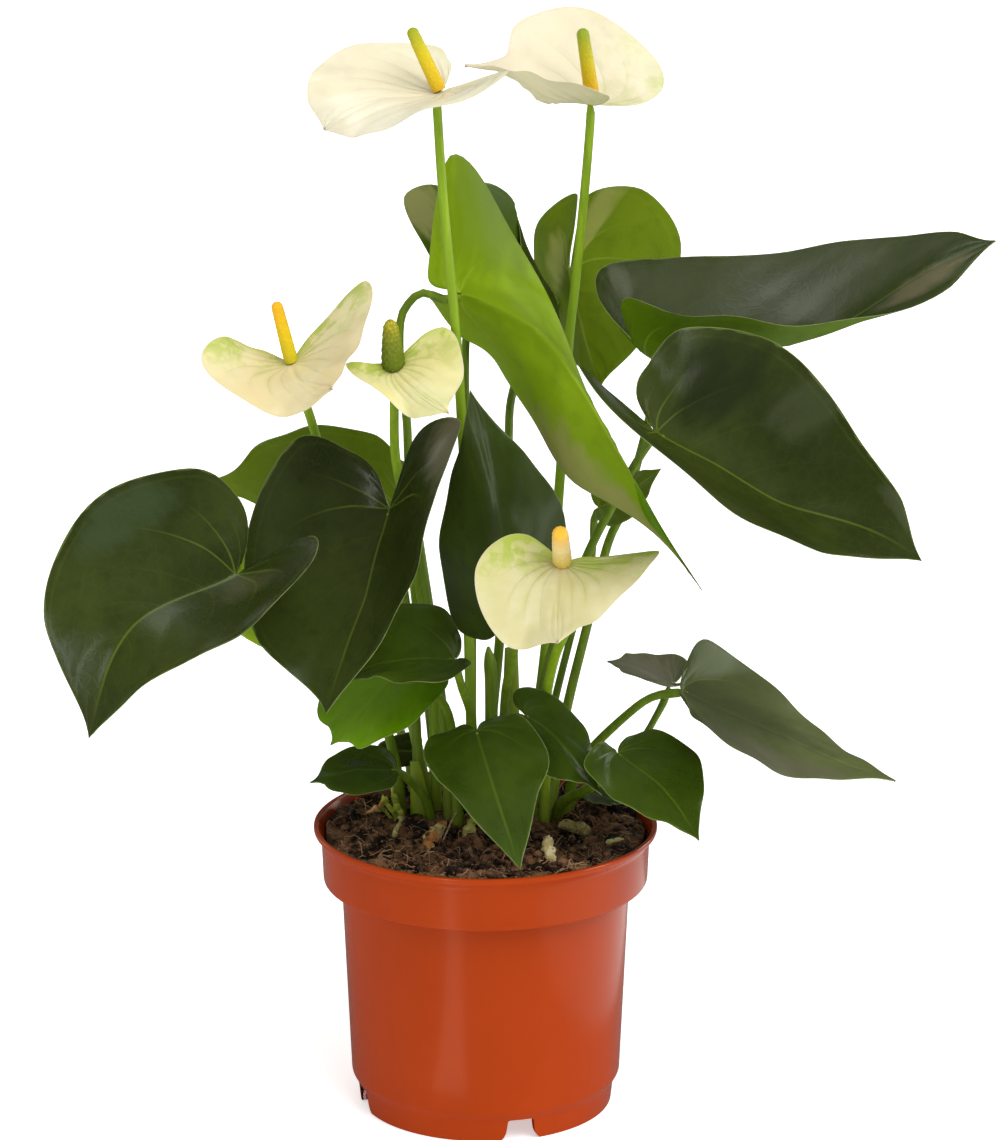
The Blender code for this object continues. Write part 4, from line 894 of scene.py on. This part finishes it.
def potProfile():
    bandLow = pot["height"] - pot["bandHeight"]
    innerBand = pot["bandRadius"] - pot["wall"]
    innerBody = pot["bodyTopRadius"] - pot["wall"]
    foot = pot["footRadius"]
    ring = foot - 1.1 - pot["ringWidth"]
    corners = [
        (0.01, pot["footHeight"] + pot["floor"], 0),
        (pot["bodyLowRadius"] - pot["wall"] - 2.5, pot["footHeight"] + pot["floor"], 1.2),
        (pot["bodyLowRadius"] - pot["wall"], pot["chamferHeight"], 1.0),
        (innerBody, bandLow + 0.2, 0.5),
        (innerBand, bandLow + 1.8, 0.5),
        (innerBand, pot["height"] - 5.0, 1.5),
        (pot["rimRadius"] - 1.5, pot["height"], 0.6),
        (pot["rimRadius"], pot["height"], 0.6),
        (pot["rimRadius"], pot["height"] - 1.8, 0.6),
        (pot["bandRadius"] + 0.2, pot["height"] - 4.2, 1.2),
        (pot["bandRadius"] - 0.5, bandLow, 1.1),
        (pot["bodyTopRadius"], bandLow - 0.6, 0.6),
        (pot["bodyLowRadius"], pot["chamferHeight"], 1.0),
        (foot, pot["footHeight"], 1.0),
        (foot - 0.9, 0, 0.8),
        (ring, 0, 0.6),
        (ring, pot["footHeight"], 0.6),
        (0.01, pot["footHeight"], 0),
    ]
    profile = [corners[0][:2]]
    for before, (radius, height, size), after in zip(corners, corners[1:], corners[2:]):
        profile += rounded((radius, height), before[:2], after[:2], size)
    return profile + [corners[-1][:2]]


def addPrism(made, outlines):  # a solid between two like outlines
    ends = [[made.verts.new(Vector(tuple((np.array(spot) + potMiddle) * mm))) for spot in outline]
            for outline in outlines]
    made.faces.new(ends[0][::-1])
    made.faces.new(ends[1])
    for i, first in enumerate(ends[0]):
        j = (i + 1) % len(ends[0])
        made.faces.new((first, ends[0][j], ends[1][j], ends[1][i]))


def cutters():
    # Arches through the foot ring and drain holes through the floor
    made = bmesh.new()
    halfTop, halfFoot = pot["notchWidth"] / 2, pot["notchFoot"] / 2
    top, corner = pot["notchHeight"] - 2.0, pot["notchCorner"]
    side = [(halfFoot + 0.6, -2), (halfFoot, 0)]
    side += [(halfTop + 1.2, 1.4), (halfTop + 0.5, 3.0), (halfTop + 0.2, 5.0)]
    for angle in np.linspace(0.1, 1.5, 5):
        side.append((halfTop - corner * (1 - math.cos(angle)), top - corner * (1 - math.sin(angle))))
    outline = side + [(-across, height) for across, height in reversed(side)]
    for angle in pot["notchAngles"]:
        turn = math.radians(angle)
        out = np.array([math.cos(turn), math.sin(turn), 0])
        aside = np.array([-math.sin(turn), math.cos(turn), 0])
        addPrism(made, [[out * reach + aside * across + [0, 0, height] for across, height in outline]
                        for reach in (pot["footRadius"] - 8, pot["footRadius"] + 8)])
    middle = pot["footHeight"] + pot["floor"] / 2
    for index in range(pot["drains"]):
        turn = 2 * math.pi * (index + 0.5) / pot["drains"]
        across, back = pot["drainRing"] * math.cos(turn), pot["drainRing"] * math.sin(turn)
        addPrism(made, [[(across + x, back + y, height) for x, y in around(pot["drainRadius"], 32)]
                        for height in (middle - 4, middle + 4)])
    bmesh.ops.recalc_face_normals(made, faces=made.faces)
    data = bpy.data.meshes.new("pot_cutters")
    made.to_mesh(data)
    made.free()
    return addObject("pot_cutters", data)


potPiece = turned("pot_shell", potProfile(), pot["steps"], [potLook()])
holder = cutters()
cut = potPiece.modifiers.new("openings", "BOOLEAN")
cut.operation = "DIFFERENCE"
cut.object = holder
cut.solver = "EXACT"
bpy.context.view_layer.update()
shell = bpy.data.meshes.new_from_object(potPiece.evaluated_get(bpy.context.evaluated_depsgraph_get()))
potPiece.modifiers.clear()
potPiece.data = shell
bpy.data.objects.remove(holder)
settle(potPiece, "pot", "pot")
print("pot turned")


# Soil

def soilLook(name, dark, mid, light):
    look = Look(name)
    coarse = look.clouds(90, 5.0, rough=0.65)
    fine = look.clouds(420, 4.0, rough=0.7)
    colour = look.blend(coarse.fade(0.44, 0.62), dark, mid)
    colour = look.blend(fine.fade(0.55, 0.75) * 0.7, colour, light)
    specks = look.cells(600).fade(0.13, 0.06)
    colour = look.blend(specks * look.clouds(70).fade(0.55, 0.7), colour, (0.22, 0.17, 0.10))
    height = coarse * 1.5 + fine * 1.4 + look.clouds(1500, 3.0) * 0.6
    return look.done(colour, 0.85 + fine * 0.12, look.bump(height, 0.9, 0.0015), Specular_IOR_Level=0.18)


def fibreLook(name, dark, light, rough):
    look = Look(name)
    return look.done(look.blend(look.clouds(300), dark, light), rough)


def soilHeight(x, y):
    point = Vector((x, y, 3.0))
    rise = noise.fractal(point * 0.055, 0.9, 2.1, 4) * soil["rough"]
    rise += noise.fractal(point * 0.22, 0.8, 2.2, 4) * soil["rough"] * 0.75
    rise += abs(noise.noise(point * 0.9)) * 0.8
    out = math.hypot(x, y) / (pot["bandRadius"] - pot["wall"])
    return soil["top"] + soil["mound"] + rise + soil["rimRise"] * max(0, out - 0.7) / 0.3


def addSoil():
    inner = pot["bandRadius"] - pot["wall"] - soil["rimGap"]
    body = pot["bodyTopRadius"] - pot["wall"] - soil["wallGap"]
    low = pot["bodyLowRadius"] - pot["wall"] - soil["wallGap"]
    bandLow = pot["height"] - pot["bandHeight"]
    rings, sides = soil["rings"], soil["sides"]
    spots = [(0, 0, soilHeight(0, 0))]
    for ring in range(1, rings + 1):
        spots += [(x, y, soilHeight(x, y)) for x, y in around(inner * ring / rings, sides)]
    below = [(inner, bandLow + 2.4), (body, bandLow + 0.9), (low, pot["chamferHeight"] + 0.2),
             (low - 2.5, pot["footHeight"] + pot["floor"] + 0.4)]
    for radius, height in below:
        spots += [(x, y, height) for x, y in around(radius, sides)]
    faces = [(0, 1 + turn, 1 + (turn + 1) % sides) for turn in range(sides)]
    faces += [(a, d, c, b) for a, b, c, d in ringFaces(rings + len(below), sides, 1)]
    last = 1 + (rings + len(below) - 1) * sides
    faces.append(tuple(range(last, last + sides))[::-1])
    peat = soilLook("peat", (0.012, 0.0065, 0.0035), (0.20, 0.100, 0.048), (0.68, 0.40, 0.21))
    settle(addPiece("soil_body", spots, faces, [peat], sharp=180), "soil", "soil")


def scatter(rng, inset):
    radius = (pot["bandRadius"] - pot["wall"] - inset) * math.sqrt(rng.random())
    angle = rng.uniform(0, 2 * math.pi)
    return radius * math.cos(angle), radius * math.sin(angle)


def lump(rng, x, y, size):
    made = bmesh.new()
    bmesh.ops.create_icosphere(made, subdivisions=1, radius=1)
    shift = Vector((rng.uniform(-50, 50), rng.uniform(-50, 50), rng.uniform(-50, 50)))
    stretch = Vector((rng.uniform(0.7, 1.4), rng.uniform(0.7, 1.4), rng.uniform(0.5, 0.9)))
    turn = rng.uniform(0, math.pi)
    spots = []
    for vert in made.verts:
        at = vert.co * (1 + 0.45 * noise.noise(vert.co * 1.6 + shift))
        at = Vector((at.x * stretch.x, at.y * stretch.y, at.z * stretch.z)) * size
        spots.append((x + at.x * math.cos(turn) - at.y * math.sin(turn),
                      y + at.x * math.sin(turn) + at.y * math.cos(turn),
                      soilHeight(x, y) + at.z + size * 0.15))
    faces = [[vert.index for vert in face.verts] for face in made.faces]
    made.free()
    return spots, faces


def addCrumbs():
    rng = random.Random(soil["seed"])
    shape = Shape()
    for index in range(soil["lumps"]):
        x, y = scatter(rng, soil["lumpInset"])
        spots, faces = lump(rng, x, y, 0.4 + 2.1 * rng.random() ** 3.2)
        shape.add(spots, faces, 0, [(0, 0)] * len(spots))
    crumbLook = soilLook("peat_crumbs", (0.018, 0.010, 0.006), (0.24, 0.118, 0.058), (0.64, 0.38, 0.20))
    settle(shape.build("soil_crumbs", [crumbLook], 180), "soil")


def addFibres():
    rng = random.Random(soil["seed"] + 1)
    shape = Shape()
    limit = pot["bandRadius"] - pot["wall"] - soil["fibreInset"]
    steps = 7
    for index in range(soil["fibres"]):
        x, y = scatter(rng, soil["fibreInset"])
        heading = rng.uniform(0, 2 * math.pi)
        turnRate = rng.uniform(-0.3, 0.3)
        length = rng.uniform(4, 13)
        lift = rng.uniform(0.2, 1.6)
        line = []
        for step in range(steps):
            if math.hypot(x, y) > limit:
                heading += 0.8
            line.append((x, y, soilHeight(x, y) - 0.2 + lift * math.sin(math.pi * step / (steps - 1))))
            x += math.cos(heading) * length / steps
            y += math.sin(heading) * length / steps
            heading += turnRate
        thick = rng.uniform(0.10, 0.24)
        shape.tube(line, [thick * (1 - 0.5 * step / steps) for step in range(steps)], index % 2, 4)
    looks = [fibreLook("fibre_dark", (0.15, 0.062, 0.028), (0.36, 0.165, 0.08), 0.8),
             fibreLook("fibre_pale", (0.26, 0.125, 0.058), (0.56, 0.34, 0.18), 0.75)]
    settle(shape.build("soil_fibres", looks, 180), "soil")


addSoil()
addCrumbs()
addFibres()
print("soil filled")


# Cut petioles, sheaths, old roots and bits on the soil

def woodyLook(name, dark, mid, light):
    look = Look(name)
    cloud = look.clouds(260, 5.0, rough=0.65)
    colour = look.blend(cloud.fade(0.36, 0.50), dark, mid)
    colour = look.blend(look.clouds(190, 3.0).fade(0.48, 0.60), colour, light)
    colour = look.blend(cloud.fade(0.44, 0.36) * 0.8, colour, dark)
    specks = look.cells(700).fade(0.34, 0.20) * look.clouds(330).fade(0.42, 0.56)
    colour = look.blend(specks * 0.8, colour, dark)
    height = cloud * 1.6 + look.clouds(800, 3.0) * 0.6
    return look.done(colour, 0.7 + cloud * 0.15, look.bump(height, 0.7, 0.0012), Specular_IOR_Level=0.25)


def knobbly(shape, line, radius, slot, seed, sides=20, rough=0.6, taper=0.75):
    line = smoothPoints(line, 12)
    radii = []
    for index in range(len(line)):
        t = index / (len(line) - 1)
        end = min(1, math.sin(math.pi * min(t + 0.04, 0.97)) * 2.4) ** 0.6
        uneven = 1 + rough * noise.noise(Vector((t * 5 + seed, seed, 0.5)))
        radii.append(radius * (taper + (1 - taper) * t) * end * uneven)
    first = len(shape.spots)
    shape.tube(line, radii, slot, sides)
    for index in range(first, len(shape.spots)):
        spot = np.array(shape.spots[index])
        shift = noise.noise_vector(Vector(tuple(spot * 0.55)) + Vector((seed, 0, 0)))
        fine = noise.noise_vector(Vector(tuple(spot * 1.9)) + Vector((0, seed, 0)))
        shape.spots[index] = tuple(spot + (np.array(shift) * 0.6 + np.array(fine) * 0.3) * radius * rough)


noise.seed_set(soil["seed"])  # the bark's bumps come out the same each run

bits = {
    "root_1": dict(
        node="root_1", radius=2.4,
        line=[(22, -28.5, 93), (22, -28, 97.5), (21.7, -25, 101), (21.6, -19.5, 103)],
        colours=((0.12, 0.065, 0.022), (0.55, 0.44, 0.19), (0.85, 0.74, 0.42))),
    "root_2": dict(
        node="root_2", radius=2.5,
        line=[(-20.5, -24, 95), (-19.7, -18, 99.3), (-17.5, -10, 101), (-14, -2, 102.5)],
        colours=((0.08, 0.032, 0.012), (0.55, 0.22, 0.06), (0.66, 0.52, 0.22))),
    "root_3": dict(
        node="root_3", line=[(-7, 0, 92), (-6, 0.6, 98), (-4.6, 2.4, 102.5)], radius=2.3,
        colours=((0.16, 0.14, 0.02), (0.38, 0.38, 0.06), (0.62, 0.55, 0.18))),
    "chunk_1": dict(
        radius=1.9,
        line=[(26, 3.5, 99.6), (28, 2.5, 100.4), (31, 0.5, 99.8), (34, -0.5, 99.6), (37, -3, 98.6)],
        colours=((0.10, 0.065, 0.022), (0.36, 0.29, 0.10), (0.60, 0.50, 0.22))),
    "sliver": dict(
        line=[(41, -15, 98.6), (44, -14.5, 100.2), (48, -13, 100.4)], radius=0.9,
        colours=((0.20, 0.20, 0.05), (0.46, 0.48, 0.14), (0.62, 0.62, 0.24))),
    "curl": dict(
        radius=0.9,
        line=[(-32, -6, 98), (-31, -1, 100), (-29.5, 3, 101), (-29.5, 7, 101.3), (-31, 8.5, 100.6)],
        colours=((0.16, 0.12, 0.04), (0.38, 0.35, 0.11), (0.54, 0.50, 0.20))),
}
for seed, (name, bit) in enumerate(bits.items()):
    shape = Shape()
    knobbly(shape, bit["line"], bit["radius"], 0, seed + 3)
    piece = shape.build(name + "_bark", [woodyLook(name + "_bark", *bit["colours"])], 180)
    settle(piece, "root", *([bit["node"]] if "node" in bit else []))
print("bits laid")

sheathLook = stemLook("sheath", (0.20, 0.28, 0.012), (0.34, 0.41, 0.05), (0.30, 0.36, 0.06))
youngLook = stemLook("young_stub", (0.15, 0.25, 0.008), (0.26, 0.36, 0.03), (0.24, 0.32, 0.04))


def addStub(name, line, radii, sides, squash, look, *nodes):
    shape = Shape()
    shape.tube(line, radii, 0, sides, squash)
    settle(shape.build(name, [look]), "stub", *nodes)


line = stemLine((1, 13, 162), [(2, 17, 148), (2, 18, 120)], (2, 18.5))
radii = [2.3 * min(1, 0.25 + 0.5 * i ** 0.7) for i in range(len(line))]
addStub("stub_1_cut", line, radii, 14, 1.0, youngLook, "stub_1")
line = stemLine((9, 14, 161), [(9, 17, 146), (9, 18, 120)], (8.5, 18.5))
radii = [3.2 * min(1, 0.75 + 0.05 * i) - 0.03 * i for i in range(len(line))]
addStub("stub_2_sheath", line, radii, 16, 0.6, sheathLook, "stub_2")

moss = Shape()
mossLook = woodyLook("moss_bract", (0.14, 0.20, 0.015), (0.38, 0.46, 0.035), (0.58, 0.60, 0.09))
for seed, (line, radius) in enumerate([
        ([(-30, 19, 92), (-31, 19, 100), (-33, 20, 108)], 1.5),
        ([(-31, 18, 96), (-34, 17, 102), (-36.5, 17, 106)], 1.3),
        ([(-29, 17, 95), (-30, 15, 101), (-32.5, 14, 104)], 1.2),
        ([(-33, 20, 96), (-36, 20, 100), (-38, 19, 100)], 1.0)]):
    knobbly(moss, line, radius, 0, seed + 20, 10, 0.6, 0.5)
settle(moss.build("bract_1_moss", [mossLook], 180), "stub", "bract_1")

line = smoothPoints([(-25, 17, 119), (-24, 16.5, 112), (-23, 16.5, 103), (-22, 17, 90)], 8)
addStub("crown_sheath", line, np.linspace(1.6, 4.6, len(line)), 18, 0.75, sheathLook)

flake = Shape()
flakeLook = woodyLook("dry_flake", (0.36, 0.13, 0.03), (0.80, 0.30, 0.07), (0.85, 0.52, 0.24))
knobbly(flake, [(-42, 16, 99.5), (-38, 19, 101.2), (-34, 24, 102)], 1.1, 0, 41, 8, 0.7)
settle(flake.build("dry_flake", [flakeLook], 180), "root")

rootlet = Shape()
rootletLook = woodyLook("thin_root", (0.30, 0.20, 0.12), (0.50, 0.36, 0.22), (0.66, 0.52, 0.36))
line = smoothPoints([(-7, 22, 100), (-9, 13, 102.5), (-11.5, 2, 102.5), (-15, -14, 99.5)], 10)
rootlet.tube(line, [0.3] * len(line), 0, 6)
settle(rootlet.build("thin_root", [rootletLook], 180), "root")
print("stubs and roots stood")


# Floor, light and camera

studio = dict(floorSide=9.0, floorTint=(0.93, 0.93, 0.93), floorInGloss=(0.25, 0.25, 0.25), floorGlow=0.50,
              sky=0.74, skyInGloss=0.12, sun=2.1, sunAngle=45.0)

floorMesh = bpy.data.meshes.new("floor")
side = studio["floorSide"] / 2
corners = [(-side, -side, 0), (side, -side, 0), (side, side, 0), (-side, side, 0)]
floorMesh.from_pydata(corners, [], [(0, 1, 2, 3)])
floor = addObject("floor", floorMesh)
floorLook = Look("floor_white")
inGloss = floorLook.node("ShaderNodeLightPath", out="Is Glossy Ray")  # glossy faces see a dimmer floor
paper = floorLook.blend(floorLook.clouds(3.0), studio["floorTint"], (0.95, 0.95, 0.945))
floorMesh.materials.append(floorLook.done(
    floorLook.blend(inGloss, paper, studio["floorInGloss"]), 0.7, None, Specular_IOR_Level=0.1,
    Emission_Color=floorLook.blend(inGloss, (1, 1, 1), (0, 0, 0)), Emission_Strength=studio["floorGlow"]))

world = bpy.data.worlds.new("studio")
bpy.context.scene.world = world
world.use_nodes = True
backdrop = world.node_tree.nodes["Background"]
backdrop.inputs["Color"].default_value = (1, 1, 1, 1)
rays = world.node_tree.nodes.new("ShaderNodeLightPath")
dimmer = world.node_tree.nodes.new("ShaderNodeMapRange")  # glossy faces see a darker room than matt ones
dimmer.inputs["To Min"].default_value = studio["sky"]
dimmer.inputs["To Max"].default_value = studio["skyInGloss"]
world.node_tree.links.new(rays.outputs["Is Glossy Ray"], dimmer.inputs["Value"])
world.node_tree.links.new(dimmer.outputs["Result"], backdrop.inputs["Strength"])


def addSun(name, energy, angle, turn):  # matt light only, the panels make the highlights
    data = bpy.data.lights.new(name, "SUN")
    data.energy = energy
    data.angle = math.radians(angle)
    lamp = addObject(name, data)
    lamp.rotation_euler = tuple(math.radians(part) for part in turn)
    lamp.visible_glossy = False


def addCard(name, size, power):  # a lit rectangle that shows in highlights only
    data = bpy.data.lights.new(name, "AREA")
    data.shape = "RECTANGLE"
    data.size, data.size_y = size
    data.energy = power
    lamp = addObject(name, data)
    lamp.visible_diffuse = False
    return lamp


def addPanel(name, at, aim, size, power):
    lamp = addCard(name, size, power)
    lamp.location = at
    lamp.rotation_euler = (Vector(aim) - Vector(at)).to_track_quat("-Z", "Y").to_euler()


def addStrip(name, turn, reach, size, power):  # a card on the floor that the pot's upright wall mirrors
    angle = math.radians(turn)
    lamp = addCard(name, size, power)
    lamp.location = tuple(potMiddle * mm + [-math.sin(angle) * reach, -math.cos(angle) * reach, 0.002])
    lamp.rotation_euler = (math.pi, 0, -angle)
    lamp.visible_camera = False


addSun("key_sun", studio["sun"], studio["sunAngle"], (28, 26, 0))
addPanel("left_panel", (-0.95, -1.95, 0.55), (0, 0, 0.15), (0.20, 1.6), 14)
addPanel("right_panel", (1.9, -0.35, 0.6), (0, 0, 0.15), (0.30, 1.6), 24)
addPanel("far_right_panel", (1.5, 1.2, 0.6), (0, 0, 0.15), (0.35, 1.6), 14)
addPanel("back_panel", (-1.5, 1.3, 0.6), (0, 0, 0.2), (0.35, 1.6), 3)
addPanel("top_panel", (-0.7, 0.5, 2.3), (0, 0, 0.25), (1.0, 1.0), 11)
addStrip("left_strip", 22.0, 0.30, (0.03, 0.45), 0.055)
addStrip("right_strip", -92.0, 0.33, (0.36, 0.45), 0.38)


view = dict(at=(5.07, -1891.0, 753.0), down=16.47, lens=180.6, sensor=36.0)
cameraData = bpy.data.cameras.new("camera")
cameraData.sensor_fit = "VERTICAL"
cameraData.sensor_height = view["sensor"]
cameraData.lens = view["lens"]
cameraData.clip_end = 50
camera = addObject("camera", cameraData)
camera.location = tuple((np.array(view["at"]) + potMiddle) * mm)
camera.rotation_euler = (math.radians(90 - view["down"]), 0, 0)
bpy.context.scene.camera = camera
bpy.context.scene.view_settings.view_transform = "Standard"
print("studio lit")
